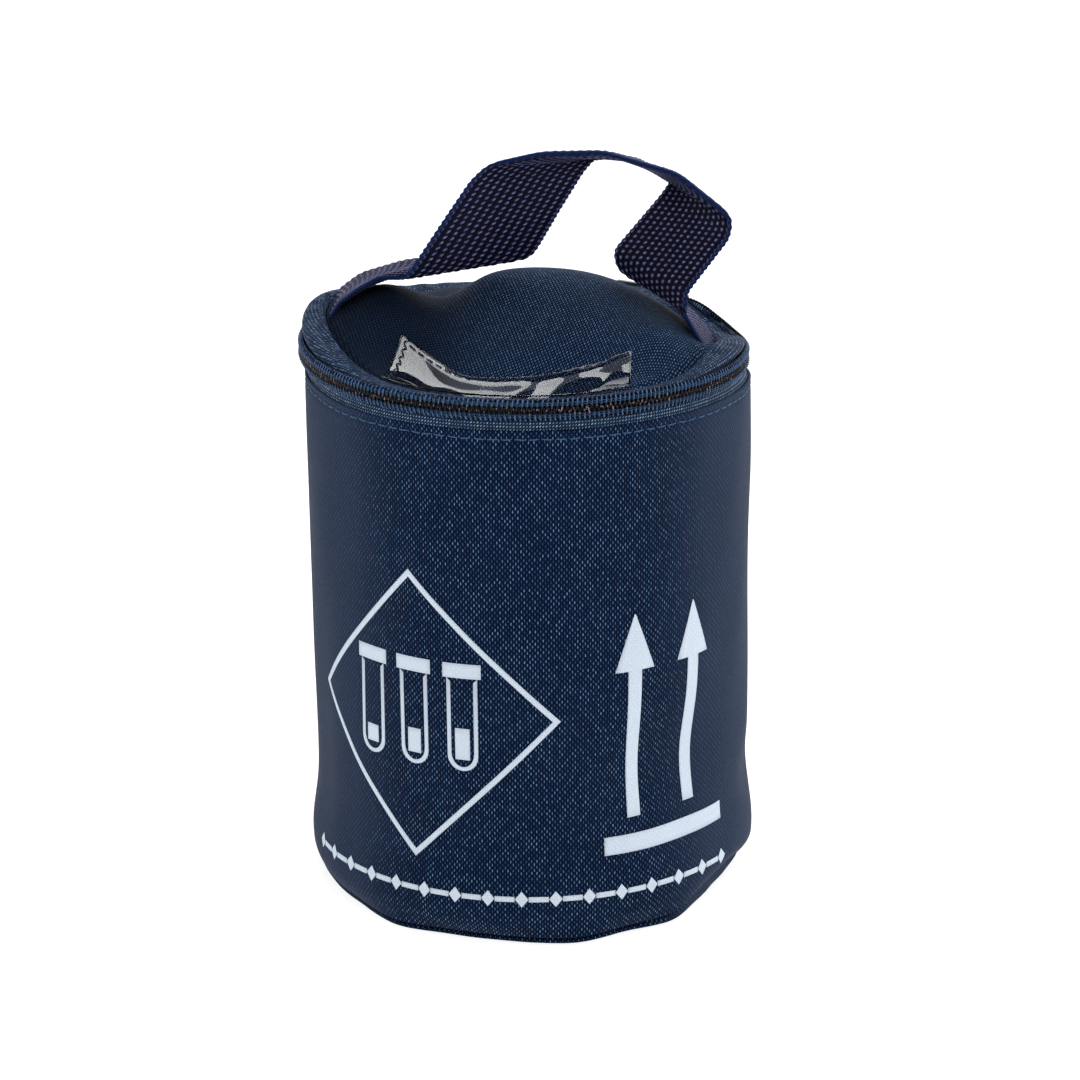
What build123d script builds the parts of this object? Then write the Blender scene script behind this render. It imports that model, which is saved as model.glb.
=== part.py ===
from build123d import *
from math import cos, degrees, pi, radians, sin
import os

os.makedirs("parts", exist_ok=True)

# Round padded bag with a zipped, domed lid and a webbing handle.
# Frame: origin on the floor under the middle of the base, +Z up, -Y is the printed front,
# the lid's cloth hinge is at the back, +Y. Lengths in millimetres, angles in degrees.

# Driving sizes of the bag
BAG_DIAMETER = 120.0
WALL_HEIGHT = 142.0
BAND_REACH = 10.0
LID_CROWN = 18.0

# Cloth, foam and board
FABRIC = 0.6
LINING = 0.4
WALL_FOAM = 3.0
LID_FOAM = 3.0
BASE_FOAM = 3.0
BASE_BOARD = 1.5
BINDING = 2.0
BINDING_DEPTH = 4.0
BACK_SEAM_WIDTH = 12.0
BACK_SEAM_TAPE = 0.5

# Zip chain
TAPE = 0.7
TAPE_TUCK = 11.0
TAPE_SHOWN = 2.9
COIL_WIDTH = 2.55
COIL_DEPTH = 2.1
COIL_PITCH = 1.38
COIL_NOTCH = 0.5
TOOTH_FLANK_SHARE = 0.2
TOOTH_CREST_SHARE = 0.5
CHAIN_GAP = 1.1
BAND_TURN = 0.5
BAND_PUFF = 2.0
SEAM_DROP = 3.1
END_STOP_LENGTH = 1.4

# Cloth hinge at the back, as an angle from the middle of the back
HINGE_HALF_ANGLE = 32.0
HINGE_CUT = 0.3
HINGE_LINE_OVER_CHAIN = 2.0

# Zip slider and pull tab
SLIDER_LENGTH = 10.5
SLIDER_HEIGHT = 8.0
SLIDER_PLATE = 1.1
SLIDER_CORNER = 1.5
SLIDER_FROM_STOP = 7.2
INNER_PLATE_HEIGHT = 5.8
POST_THICKNESS = 0.5
POST_LENGTH = 2.4
FLANGE = 0.6
CROWN_LENGTH = 7.6
CROWN_WIDTH = 2.4
CROWN_BAR = 1.0
CROWN_LEG = 1.1
CROWN_ROUND = 0.8
PIN_DIAMETER = 1.3
TAB_LENGTH = 20.0
TAB_WIDTH = 6.0
TAB_THICKNESS = 1.2
TAB_CORNER = 1.5
TAB_ARM = 1.4
TAB_REACH = 5.3
TAB_HOLE = 2.4
TAB_LEAN = 8.0

# Stitches
THREAD = 0.35
STITCH_LENGTH = 2.6
STITCH_PITCH = 3.5
STITCH_BELOW_HEM = 2.0

# Clear label pocket on the lid
WINDOW_WIDTH = 62.0
WINDOW_HEIGHT = 28.0
WINDOW_SHEET = 0.3
WINDOW_TURN = -14.0
WINDOW_SHIFT = 3.0
WINDOW_STITCH_INSET = 2.0

# Webbing handle
WEBBING_WIDTH = 25.0
WEBBING = 1.8
FOOT_LIFT = 2.6

# Clearances
RUNNING = 0.35
TOUCH = 0.3
SEWN_GAP = 0.1

# Radii of the wall layers
wall_out = BAG_DIAMETER / 2
wall_in = wall_out - FABRIC
tape_in = wall_in - TAPE
foam_in = wall_in - WALL_FOAM
lining_in = foam_in - LINING
coil_out = wall_in + COIL_DEPTH
seam_radius = wall_out - BAND_REACH

# Heights of the base layers
board_top = FABRIC + BASE_BOARD
base_foam_top = board_top + BASE_FOAM
base_top = base_foam_top + LINING

# Heights of the zip chain
lower_coil_low = WALL_HEIGHT + TAPE_SHOWN
lower_coil_top = lower_coil_low + COIL_WIDTH
chain_middle = lower_coil_top + CHAIN_GAP / 2
upper_coil_low = lower_coil_top + CHAIN_GAP
upper_coil_top = upper_coil_low + COIL_WIDTH
band_top = upper_coil_top + BAND_TURN
tape_low = WALL_HEIGHT - TAPE_TUCK
foam_top = WALL_HEIGHT - TOUCH
hinge_line = chain_middle + HINGE_LINE_OVER_CHAIN

# Lid dome, part of a sphere through the lid seam
seam_height = upper_coil_top - SEAM_DROP
dome_radius = (seam_radius**2 + LID_CROWN**2) / (2 * LID_CROWN)
dome_centre = seam_height + LID_CROWN - dome_radius

# Angles round the axis, counted from +X; the back is at 90
BACK = 90.0
cut_angle = degrees(HINGE_CUT / wall_out)
zip_start = BACK + HINGE_HALF_ANGLE + cut_angle
zip_arc = 360 - 2 * (HINGE_HALF_ANGLE + cut_angle)
stop_angle = degrees(END_STOP_LENGTH / wall_out)
coil_start = zip_start + stop_angle
coil_arc = zip_arc - 2 * stop_angle
slider_angle = BACK - HINGE_HALF_ANGLE - stop_angle - degrees(SLIDER_FROM_STOP / wall_out)


# Helpers


def radial_plane(angle):
    """Upright plane through the axis: local X points outwards, local Y points up."""
    a = radians(angle)
    return Plane(origin=(0, 0, 0), x_dir=(cos(a), sin(a), 0), z_dir=(sin(a), -cos(a), 0))


def layer(inner, outer, low, high):
    """Rectangle between two radii and two heights, in the open sketch of a radial plane."""
    with Locations(((inner + outer) / 2, (low + high) / 2)):
        Rectangle(outer - inner, high - low)


def dome_layer(under, over):
    """Slice of the lid dome between two offsets from its outer cloth face."""
    with Locations((0, dome_centre)):
        Circle(dome_radius + over)
        Circle(dome_radius + under, mode=Mode.SUBTRACT)
    with Locations((seam_radius / 2, seam_height + LID_CROWN / 2)):
        Rectangle(seam_radius, seam_radius, mode=Mode.INTERSECT)


def coil_ring(start, arc):
    """Toothed ring of one zip half, in the open sketch of a level plane."""
    teeth = int(radians(arc) * coil_out / COIL_PITCH)
    step = radians(arc) / teeth
    notch = coil_out - COIL_NOTCH
    crest_end = TOOTH_FLANK_SHARE + TOOTH_CREST_SHARE
    tooth_corners = (
        (0, notch),
        (TOOTH_FLANK_SHARE, coil_out),
        (crest_end, coil_out),
        (crest_end + TOOTH_FLANK_SHARE, notch),
    )
    outline = []
    for tooth in range(teeth):
        for share, radius in tooth_corners:
            angle = radians(start) + (tooth + share) * step
            outline.append((radius * cos(angle), radius * sin(angle)))
    end = radians(start + arc)
    outline.append((notch * cos(end), notch * sin(end)))
    first = (wall_in * cos(radians(start)), wall_in * sin(radians(start)))
    last = (wall_in * cos(end), wall_in * sin(end))
    with BuildLine() as edge:
        Polyline(outline)
        Line(outline[-1], last)
        CenterArc((0, 0), wall_in, start, arc)
        Line(first, outline[0])
    make_face(edge.edges())


def band_outline():
    """Profile of the cloth band that turns from the upper coil over to the lid seam."""
    top = Vector(wall_in, band_top)
    seam = Vector(seam_radius, seam_height)
    out = (top - seam).normalized()
    puff = Vector(-out.Y, out.X)
    outer_middle = (top + seam) / 2 + puff * BAND_PUFF
    inner_middle = outer_middle - puff * TAPE
    seam_under = seam + Vector(0, -TAPE)
    inner_top = Vector(tape_in, band_top - TAPE)
    return top, outer_middle, seam, seam_under, inner_middle, inner_top


def band_face(low):
    """Face of the band, with its upright part going down to a height."""
    top, outer_middle, seam, seam_under, inner_middle, inner_top = band_outline()
    with BuildLine() as edge:
        ThreePointArc(top, outer_middle, seam)
        Line(seam, seam_under)
        ThreePointArc(seam_under, inner_middle, inner_top)
        Polyline(inner_top, (tape_in, low), (wall_in, low), top)
    make_face(edge.edges())


# Base of the bag

with BuildPart() as base_panel:
    with BuildSketch(Plane.XY):
        Circle((wall_out + wall_in) / 2)
    extrude(amount=FABRIC)
base_panel.part.label = "base_panel"

with BuildPart() as base_board:
    with BuildSketch(Plane.XY.offset(FABRIC)):
        Circle(wall_in - BINDING)
    extrude(amount=BASE_BOARD)
base_board.part.label = "base_board"

with BuildPart() as base_seam_binding:
    with BuildSketch(Plane.XY.offset(FABRIC)):
        Circle(wall_in)
        Circle(wall_in - BINDING, mode=Mode.SUBTRACT)
    extrude(amount=BASE_BOARD)
base_seam_binding.part.label = "base_seam_binding"

with BuildPart() as base_foam:
    with BuildSketch(Plane.XY.offset(board_top)):
        Circle(foam_in)
    extrude(amount=BASE_FOAM)
base_foam.part.label = "base_foam"

with BuildPart() as base_lining:
    with BuildSketch(Plane.XY.offset(base_foam_top)):
        Circle(foam_in)
    extrude(amount=LINING)
base_lining.part.label = "base_lining"

# Wall of the bag

with BuildPart() as body_wall:
    with BuildSketch(radial_plane(BACK)):
        layer(wall_in, wall_out, FABRIC, WALL_HEIGHT)
    revolve(axis=Axis.Z)
body_wall.part.label = "body_wall"

with BuildPart() as wall_foam:
    with BuildSketch(radial_plane(BACK)):
        layer(foam_in, wall_in, board_top, tape_low)
        layer(foam_in, tape_in, tape_low, foam_top)
    revolve(axis=Axis.Z)
wall_foam.part.label = "wall_foam"

with BuildPart() as wall_lining:
    with BuildSketch(radial_plane(BACK)):
        layer(lining_in, foam_in, base_top, foam_top)
    revolve(axis=Axis.Z)
wall_lining.part.label = "wall_lining"

back_seam_out = lining_in - SEWN_GAP
back_seam_angle = degrees(BACK_SEAM_WIDTH / back_seam_out)
with BuildPart() as back_seam_binding:
    with BuildSketch(radial_plane(BACK - back_seam_angle / 2)):
        layer(back_seam_out - BACK_SEAM_TAPE, back_seam_out, base_top, foam_top)
    revolve(axis=Axis.Z, revolution_arc=back_seam_angle)
back_seam_binding.part.label = "back_seam_binding"

stitch_count = int(2 * pi * wall_out / STITCH_PITCH)
with BuildPart() as wall_topstitch:
    with Locations(Plane.XY.offset(WALL_HEIGHT - STITCH_BELOW_HEM)):
        with PolarLocations(wall_out + THREAD / 2, stitch_count):
            Box(THREAD, STITCH_LENGTH, THREAD)
wall_topstitch.part.label = "wall_topstitch"

# Lower half of the zip

with BuildPart() as lower_zip_tape:
    with BuildSketch(radial_plane(zip_start)):
        layer(tape_in, wall_in, tape_low, lower_coil_top)
    revolve(axis=Axis.Z, revolution_arc=zip_arc)
lower_zip_tape.part.label = "lower_zip_tape"

with BuildPart() as lower_zip_coil:
    with BuildSketch(Plane.XY.offset(lower_coil_low)):
        coil_ring(coil_start, coil_arc)
    extrude(amount=COIL_WIDTH)
lower_zip_coil.part.label = "lower_zip_coil"

with BuildPart() as lower_end_stops:
    for stop_from in (zip_start, coil_start + coil_arc):
        with BuildSketch(radial_plane(stop_from)):
            layer(wall_in, coil_out, lower_coil_low, lower_coil_top)
        revolve(axis=Axis.Z, revolution_arc=stop_angle)
lower_end_stops.part.label = "lower_end_stops"

# Upper half of the zip

with BuildPart() as upper_zip_tape:
    with BuildSketch(radial_plane(zip_start)):
        band_face(upper_coil_low)
    revolve(axis=Axis.Z, revolution_arc=zip_arc)
upper_zip_tape.part.label = "upper_zip_tape"

with BuildPart() as upper_zip_coil:
    with BuildSketch(Plane.XY.offset(upper_coil_low)):
        coil_ring(coil_start, coil_arc)
    extrude(amount=COIL_WIDTH)
upper_zip_coil.part.label = "upper_zip_coil"

with BuildPart() as upper_end_stops:
    for stop_from in (zip_start, coil_start + coil_arc):
        with BuildSketch(radial_plane(stop_from)):
            layer(wall_in, coil_out, upper_coil_low, upper_coil_top)
        revolve(axis=Axis.Z, revolution_arc=stop_angle)
upper_end_stops.part.label = "upper_end_stops"

# Cloth hinge at the back, in two halves that meet at the bend

with BuildPart() as hinge_cloth_lower:
    with BuildSketch(radial_plane(BACK - HINGE_HALF_ANGLE)):
        layer(tape_in, wall_in, tape_low, hinge_line - HINGE_CUT)
    revolve(axis=Axis.Z, revolution_arc=2 * HINGE_HALF_ANGLE)
hinge_cloth_lower.part.label = "hinge_cloth_lower"

with BuildPart() as hinge_cloth_upper:
    with BuildSketch(radial_plane(BACK - HINGE_HALF_ANGLE)):
        band_face(hinge_line + HINGE_CUT)
    revolve(axis=Axis.Z, revolution_arc=2 * HINGE_HALF_ANGLE)
hinge_cloth_upper.part.label = "hinge_cloth_upper"

# Lid

with BuildPart() as lid_panel:
    with BuildSketch(radial_plane(BACK)):
        dome_layer(-FABRIC, 0)
    revolve(axis=Axis.Z)
lid_panel.part.label = "lid_panel"

with BuildPart() as lid_foam:
    with BuildSketch(radial_plane(BACK)):
        dome_layer(-FABRIC - LID_FOAM, -FABRIC)
    revolve(axis=Axis.Z)
lid_foam.part.label = "lid_foam"

with BuildPart() as lid_lining:
    with BuildSketch(radial_plane(BACK)):
        dome_layer(-FABRIC - LID_FOAM - LINING, -FABRIC - LID_FOAM)
    revolve(axis=Axis.Z)
lid_lining.part.label = "lid_lining"

with BuildPart() as lid_seam_binding:
    with BuildSketch(radial_plane(BACK)):
        layer(
            seam_radius,
            seam_radius + BINDING,
            seam_height - TAPE - BINDING_DEPTH,
            seam_height - TAPE,
        )
    revolve(axis=Axis.Z)
lid_seam_binding.part.label = "lid_seam_binding"

# Clear pocket on the lid, sewn into the lid seam in front and open at its right end

window_level = Plane(
    origin=(0, 0, seam_height),
    x_dir=(cos(radians(WINDOW_TURN)), sin(radians(WINDOW_TURN)), 0),
    z_dir=(0, 0, 1),
)
window_left = WINDOW_SHIFT - WINDOW_WIDTH / 2
window_back = WINDOW_HEIGHT - seam_radius
stitch_left = window_left + WINDOW_STITCH_INSET
stitch_back = window_back - WINDOW_STITCH_INSET
over_dome = 2 * LID_CROWN


def window_patch(left, back, right):
    """Patch from a back edge to the lid seam, in the open sketch of the pocket's plane."""
    with Locations(((left + right) / 2, (back - seam_radius) / 2)):
        Rectangle(right - left, back + seam_radius)


with BuildPart() as label_window:
    with BuildSketch(radial_plane(BACK)):
        dome_layer(0, WINDOW_SHEET)
    revolve(axis=Axis.Z)
    with BuildSketch(window_level):
        window_patch(window_left, window_back, window_left + WINDOW_WIDTH)
    extrude(amount=over_dome, mode=Mode.INTERSECT)
label_window.part.label = "label_window"

with BuildPart() as window_stitches:
    with BuildSketch(radial_plane(BACK)):
        dome_layer(WINDOW_SHEET, WINDOW_SHEET + THREAD)
    revolve(axis=Axis.Z)
    with BuildSketch(window_level):
        window_patch(stitch_left, stitch_back, window_left + WINDOW_WIDTH)
    extrude(amount=over_dome, mode=Mode.INTERSECT)
    with BuildSketch(window_level):
        window_patch(stitch_left + THREAD, stitch_back - THREAD, window_left + 2 * WINDOW_WIDTH)
    extrude(amount=over_dome, mode=Mode.SUBTRACT)
window_stitches.part.label = "window_stitches"


# Webbing handle

# Each station is the middle of the strip: side of the bag, distance in from the lid seam,
# distance behind the middle of the bag, height over the lid seam, then the way from the
# near selvedge to the far one, and how much a slanted fold lengthens that line.
LEFT = -1
RIGHT = 1
STRIP_STATIONS = (
    (LEFT, 0.8, 7.0, FOOT_LIFT, (0.10, 0.99, 0.00), 1.00),
    (LEFT, 11.5, 2.5, 14.0, (0.48, 0.84, 0.22), 1.08),
    (LEFT, 33.0, -1.5, 21.0, (0.93, 0.30, 0.12), 1.40),
    (LEFT, 53.5, -1.5, 49.5, (0.98, 0.20, 0.02), 1.22),
    (RIGHT, 25.0, 2.0, 50.3, (0.46, 0.87, -0.18), 1.00),
    (RIGHT, 5.0, 0.0, 39.5, (-0.68, 0.62, 0.34), 1.00),
    (RIGHT, 17.2, -1.0, 18.6, (-0.78, 0.53, 0.34), 1.00),
    (RIGHT, 7.5, -1.5, 10.5, (-0.45, 0.86, 0.22), 1.00),
    (RIGHT, 0.8, -2.0, FOOT_LIFT, (0.04, 0.99, 0.00), 1.00),
)
LEFT_FOLD = 2
RIGHT_FOLD = 6


def station_place(index):
    """Middle of the strip at a station; past either end, straight under that foot."""
    if index < 0 or index >= len(STRIP_STATIONS):
        foot = station_place(0 if index < 0 else len(STRIP_STATIONS) - 1)
        return foot - Vector(0, 0, FOOT_LIFT)
    side, inset, behind, rise, _, _ = STRIP_STATIONS[index]
    return Vector(side * (seam_radius - inset), behind, seam_height + rise)


def strip_section(index, shift=0.0):
    """Section of the strip at a station, square to its run and moved along it by shift."""
    across = Vector(*STRIP_STATIONS[index][4]).normalized()
    run = (station_place(index + 1) - station_place(index - 1)).normalized()
    run = (run - across * run.dot(across)).normalized()
    middle = station_place(index) + run * shift
    with BuildSketch(Plane(origin=middle, x_dir=across, z_dir=run)) as cut:
        Rectangle(WEBBING_WIDTH * STRIP_STATIONS[index][5], WEBBING)
    return cut.sketch


with BuildPart() as handle_root_left:
    root_sections = [strip_section(number) for number in range(LEFT_FOLD)]
    loft(root_sections + [strip_section(LEFT_FOLD, -TOUCH / 2)], ruled=True)
handle_root_left.part.label = "handle_root_left"

with BuildPart() as handle_loop:
    inner_sections = [strip_section(number) for number in range(LEFT_FOLD + 1, RIGHT_FOLD)]
    first_section = strip_section(LEFT_FOLD, TOUCH / 2)
    last_section = strip_section(RIGHT_FOLD, -TOUCH / 2)
    loft([first_section] + inner_sections + [last_section], ruled=True)
handle_loop.part.label = "handle_loop"

with BuildPart() as handle_root_right:
    root_sections = [strip_section(number) for number in range(RIGHT_FOLD + 1, len(STRIP_STATIONS))]
    loft([strip_section(RIGHT_FOLD, TOUCH / 2)] + root_sections, ruled=True)
handle_root_right.part.label = "handle_root_right"

# Zip slider, drawn where it rests at the closed end of the chain

plate_in = coil_out + RUNNING
plate_out = plate_in + SLIDER_PLATE
slider_half_angle = degrees(SLIDER_LENGTH / 2 / plate_in)
post_angle = degrees(POST_LENGTH / plate_in)
plate_low = chain_middle - SLIDER_HEIGHT / 2
plate_top = chain_middle + SLIDER_HEIGHT / 2
slider_face = Plane(
    origin=(0, 0, chain_middle),
    x_dir=(-sin(radians(slider_angle)), cos(radians(slider_angle)), 0),
    z_dir=(cos(radians(slider_angle)), sin(radians(slider_angle)), 0),
)
slider_level = Plane(
    origin=(0, 0, chain_middle),
    x_dir=(cos(radians(slider_angle)), sin(radians(slider_angle)), 0),
    z_dir=(0, 0, 1),
)
pin_radius = PIN_DIAMETER / 2
pin_out = plate_out + TAB_THICKNESS / 2 + TAB_REACH * sin(radians(TAB_LEAN))
crown_under = pin_out + pin_radius + RUNNING
crown_out = crown_under + CROWN_BAR

with BuildPart() as slider_body:
    with BuildSketch(radial_plane(slider_angle - slider_half_angle)):
        layer(plate_in, plate_out, plate_low, plate_top)
    revolve(axis=Axis.Z, revolution_arc=2 * slider_half_angle)
    with BuildSketch(slider_face):
        RectangleRounded(SLIDER_LENGTH, SLIDER_HEIGHT, SLIDER_CORNER)
    extrude(amount=crown_out, mode=Mode.INTERSECT)
    inner_out = tape_in - RUNNING
    with BuildSketch(radial_plane(slider_angle - slider_half_angle)):
        layer(
            inner_out - SLIDER_PLATE,
            inner_out,
            chain_middle - INNER_PLATE_HEIGHT / 2 - FLANGE,
            chain_middle + INNER_PLATE_HEIGHT / 2 - FLANGE,
        )
    revolve(axis=Axis.Z, revolution_arc=2 * slider_half_angle)
    with BuildSketch(radial_plane(slider_angle + slider_half_angle - post_angle)):
        layer(
            inner_out - SLIDER_PLATE / 2,
            plate_in + SLIDER_PLATE / 2,
            chain_middle - POST_THICKNESS / 2,
            chain_middle + POST_THICKNESS / 2,
        )
    revolve(axis=Axis.Z, revolution_arc=post_angle)
    with BuildSketch(radial_plane(slider_angle - slider_half_angle / 2)):
        layer(wall_in + RUNNING, plate_in + SLIDER_PLATE / 2, plate_low, plate_low + FLANGE)
    revolve(axis=Axis.Z, revolution_arc=slider_half_angle)
slider_body.part.label = "slider_body"

with BuildPart() as slider_crown:
    with BuildSketch(slider_level):
        with Locations(((plate_out + crown_out) / 2, 0)):
            Rectangle(crown_out - plate_out, CROWN_LENGTH)
        with Locations(((plate_out + crown_under) / 2, 0)):
            Rectangle(
                crown_under - plate_out,
                CROWN_LENGTH - 2 * CROWN_LEG,
                mode=Mode.SUBTRACT,
            )
    extrude(amount=CROWN_WIDTH / 2, both=True)
    outward = Axis(origin=(0, 0, 0), direction=slider_level.x_dir)
    fillet(slider_crown.edges().filter_by(Axis.Z).sort_by(outward)[-2:], radius=CROWN_ROUND)
slider_crown.part.label = "slider_crown"

# Pull tab, on its pin in the tunnel of the crown

tab_level = Plane(
    origin=slider_level.from_local_coords((pin_out, 0, 0)),
    x_dir=(
        -sin(radians(slider_angle + TAB_LEAN)),
        cos(radians(slider_angle + TAB_LEAN)),
        0,
    ),
    z_dir=(cos(radians(slider_angle + TAB_LEAN)), sin(radians(slider_angle + TAB_LEAN)), 0),
)
arm_inner = CROWN_WIDTH / 2 + RUNNING
arm_middle = arm_inner + TAB_ARM / 2
arm_start = -TAB_ARM / 2
arm_end = TAB_REACH + TAB_ARM
with BuildPart() as pull_tab:
    with BuildSketch(tab_level.offset(-TAB_THICKNESS / 2)):
        with Locations(((TAB_REACH + TAB_LENGTH) / 2, 0)):
            RectangleRounded(TAB_LENGTH - TAB_REACH, TAB_WIDTH, TAB_CORNER)
        for arm_side in (arm_middle, -arm_middle):
            with Locations(((arm_start + arm_end) / 2, arm_side)):
                Rectangle(arm_end - arm_start, TAB_ARM)
        with Locations((TAB_LENGTH - TAB_HOLE, 0)):
            Circle(TAB_HOLE / 2, mode=Mode.SUBTRACT)
    extrude(amount=TAB_THICKNESS)
    with BuildSketch(Plane(origin=tab_level.origin - Vector(0, 0, arm_middle), z_dir=(0, 0, 1))):
        Circle(pin_radius)
    extrude(amount=2 * arm_middle)
pull_tab.part.label = "pull_tab"

# Written files

pieces = (
    base_panel,
    base_board,
    base_seam_binding,
    base_foam,
    base_lining,
    body_wall,
    wall_foam,
    wall_lining,
    back_seam_binding,
    wall_topstitch,
    lower_zip_tape,
    lower_zip_coil,
    lower_end_stops,
    upper_zip_tape,
    upper_zip_coil,
    upper_end_stops,
    hinge_cloth_lower,
    hinge_cloth_upper,
    lid_panel,
    lid_foam,
    lid_lining,
    lid_seam_binding,
    label_window,
    window_stitches,
    handle_root_left,
    handle_loop,
    handle_root_right,
    slider_body,
    slider_crown,
    pull_tab,
)
for piece in pieces:
    export_step(piece.part, f"parts/{piece.part.label}.step")

print("slider rests at", round(slider_angle, 2), "degrees; pin at radius", round(pin_out, 3))
print("pin point", [round(v, 4) for v in tuple(tab_level.origin)])
print("hinge line at height", round(hinge_line, 3), "seam at", round(seam_height, 3))
print("zip arc", round(zip_arc, 2), "coil arc", round(coil_arc, 2))
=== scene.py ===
from math import cos, pi, radians, sin

import bmesh
import bpy
import numpy as np
from mathutils import Matrix, Vector


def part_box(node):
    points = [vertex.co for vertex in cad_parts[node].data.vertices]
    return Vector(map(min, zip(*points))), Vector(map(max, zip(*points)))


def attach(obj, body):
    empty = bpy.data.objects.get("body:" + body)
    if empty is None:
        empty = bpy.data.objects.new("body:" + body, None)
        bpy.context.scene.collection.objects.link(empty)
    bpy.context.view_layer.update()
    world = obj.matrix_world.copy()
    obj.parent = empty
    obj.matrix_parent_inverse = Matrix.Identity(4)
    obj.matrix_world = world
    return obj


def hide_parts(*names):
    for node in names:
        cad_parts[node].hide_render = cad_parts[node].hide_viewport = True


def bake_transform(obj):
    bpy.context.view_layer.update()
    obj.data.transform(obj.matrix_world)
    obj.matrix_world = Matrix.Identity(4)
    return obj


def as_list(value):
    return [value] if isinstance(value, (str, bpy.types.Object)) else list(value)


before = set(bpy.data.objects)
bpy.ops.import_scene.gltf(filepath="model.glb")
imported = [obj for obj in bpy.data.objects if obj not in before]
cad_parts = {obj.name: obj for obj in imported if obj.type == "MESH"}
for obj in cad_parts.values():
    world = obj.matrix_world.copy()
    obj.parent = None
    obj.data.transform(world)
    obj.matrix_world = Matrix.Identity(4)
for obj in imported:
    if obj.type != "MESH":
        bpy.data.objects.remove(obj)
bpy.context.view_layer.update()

bl_info = {
    "name": "Specimen Transport Bag",
    "version": (1, 0, 0),
    "blender": (4, 5, 0),
    "location": "3D View > Sidebar > Bag",
    "description": "Dresses the round insulated specimen bag: cloth, zip, pocket and handle",
    "category": "Object",
}

MM = 0.001
BAG = "bag"
LID = "lid"

# Sizes in millimetres, taken from the frame
WALL_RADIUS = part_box("body_wall")[1][0] / MM
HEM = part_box("body_wall")[1][2] / MM
TAPE_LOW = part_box("lower_zip_tape")[0][2] / MM
LOWER_COIL = (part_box("lower_zip_coil")[0][2] / MM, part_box("lower_zip_coil")[1][2] / MM)
UPPER_COIL = (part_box("upper_zip_coil")[0][2] / MM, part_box("upper_zip_coil")[1][2] / MM)
CHAIN = (LOWER_COIL[1] + UPPER_COIL[0]) / 2
COIL_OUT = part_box("lower_zip_coil")[1][0] / MM
SEAM_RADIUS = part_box("lid_panel")[1][0] / MM
SEAM = CHAIN
LINING_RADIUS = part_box("wall_lining")[1][0] / MM
BASE_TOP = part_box("base_lining")[1][2] / MM
HINGE_HALF = radians(32.0)
HINGE_HEIGHT = 150.0
END_STOP = 1.4


# Settings that a user would change


def paint(red, green, blue):
    """Scene-linear colour from screen values of 0 to 255."""
    shares = [value / 255 for value in (red, green, blue)]
    return tuple(s / 12.92 if s <= 0.04045 else ((s + 0.055) / 1.055) ** 2.4 for s in shares)


def colour_property(name, description, default):
    """Colour swatch of a property group."""
    return bpy.props.FloatVectorProperty(
        name=name, description=description, default=default, size=3, min=0, max=1, subtype="COLOR"
    )


def length_property(name, description, default):
    """Length in metres, set here in millimetres."""
    return bpy.props.FloatProperty(
        name=name, description=description, default=default * MM, min=0, precision=5,
        subtype="DISTANCE", unit="LENGTH",
    )


class BagClothSettings(bpy.types.PropertyGroup):
    """Colours and thread sizes of the cloths."""

    ground: colour_property("Cloth ground", "Shaded thread of the outer cloth", paint(1, 10, 30))
    thread: colour_property("Cloth thread", "Lit thread of the outer cloth", paint(10, 30, 60))
    # painted highlight: colour of the glints painted on the thread crowns of the outer cloth
    glint: colour_property("Cloth glint", "Bright specks of the outer cloth", paint(122, 156, 192))
    ink: colour_property("Print", "Ink of the printed marks", paint(207, 217, 228))
    tape: colour_property("Zip tape", "Woven tape of the zip", paint(36, 60, 92))
    lining: colour_property("Lining", "Wipe-clean lining", paint(176, 182, 188))
    warp: length_property("Warp pitch", "Distance between upright threads", 0.69)
    weft: length_property("Weft pitch", "Distance between level threads", 0.82)
    lid_pitch: length_property("Lid thread pitch", "Distance between threads of the lid", 0.58)


class BagHardwareSettings(bpy.types.PropertyGroup):
    """Sizes and colours of the zip, the stitches and the webbing."""

    tooth: length_property("Zip tooth pitch", "Distance between the turns of a zip coil", 1.28)
    wire: length_property("Zip wire", "Diameter of the coiled filament", 0.62)
    stitch: length_property("Stitch pitch", "Distance between stitches of the hem", 3.5)
    thread: length_property("Thread", "Diameter of the sewing thread", 0.35)
    # painted highlight: colour painted on the tips of the handle's knots
    webbing: colour_property("Webbing", "Lit yarn of the handle", paint(140, 144, 200))
    selvedge: colour_property("Selvedge", "Edge yarn of the handle", paint(12, 30, 70))
    enamel: colour_property("Slider enamel", "Enamel of the zip slider", paint(22, 30, 46))


class BagStageSettings(bpy.types.PropertyGroup):
    """Floor, lights and camera."""

    floor: colour_property("Floor", "Colour of the floor", (0.4, 0.4, 0.4))
    surround: bpy.props.FloatProperty(
        name="Surround", description="Brightness of the surround near the horizon", default=1.0, min=0
    )
    lens: bpy.props.FloatProperty(
        name="Lens", description="Focal length of the camera", default=116.09, min=1, unit="CAMERA"
    )


def settings(group):
    """Property group of the scene: cloth, hardware or stage."""
    return getattr(bpy.context.scene, "bag_" + group)


# Curves and surfaces


def bell(angle, middle, width):
    """Smooth hump round an angle; middle and width are in degrees, the angle in radians."""
    away = (np.degrees(angle) - middle + 180) % 360 - 180
    return np.exp(-((away / width) ** 2))


def smooth_step(value, low, high):
    """0 below low, 1 above high, and smooth between them."""
    share = np.clip((value - low) / (high - low), 0, 1)
    return share * share * (3 - 2 * share)


def resample(line, wanted):
    """Points at the wanted lengths along a line; its first three columns are the place."""
    reach = run_lengths(line[:, :3])
    return np.stack([np.interp(wanted(reach[-1]), reach, column) for column in line.T], -1)


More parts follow.
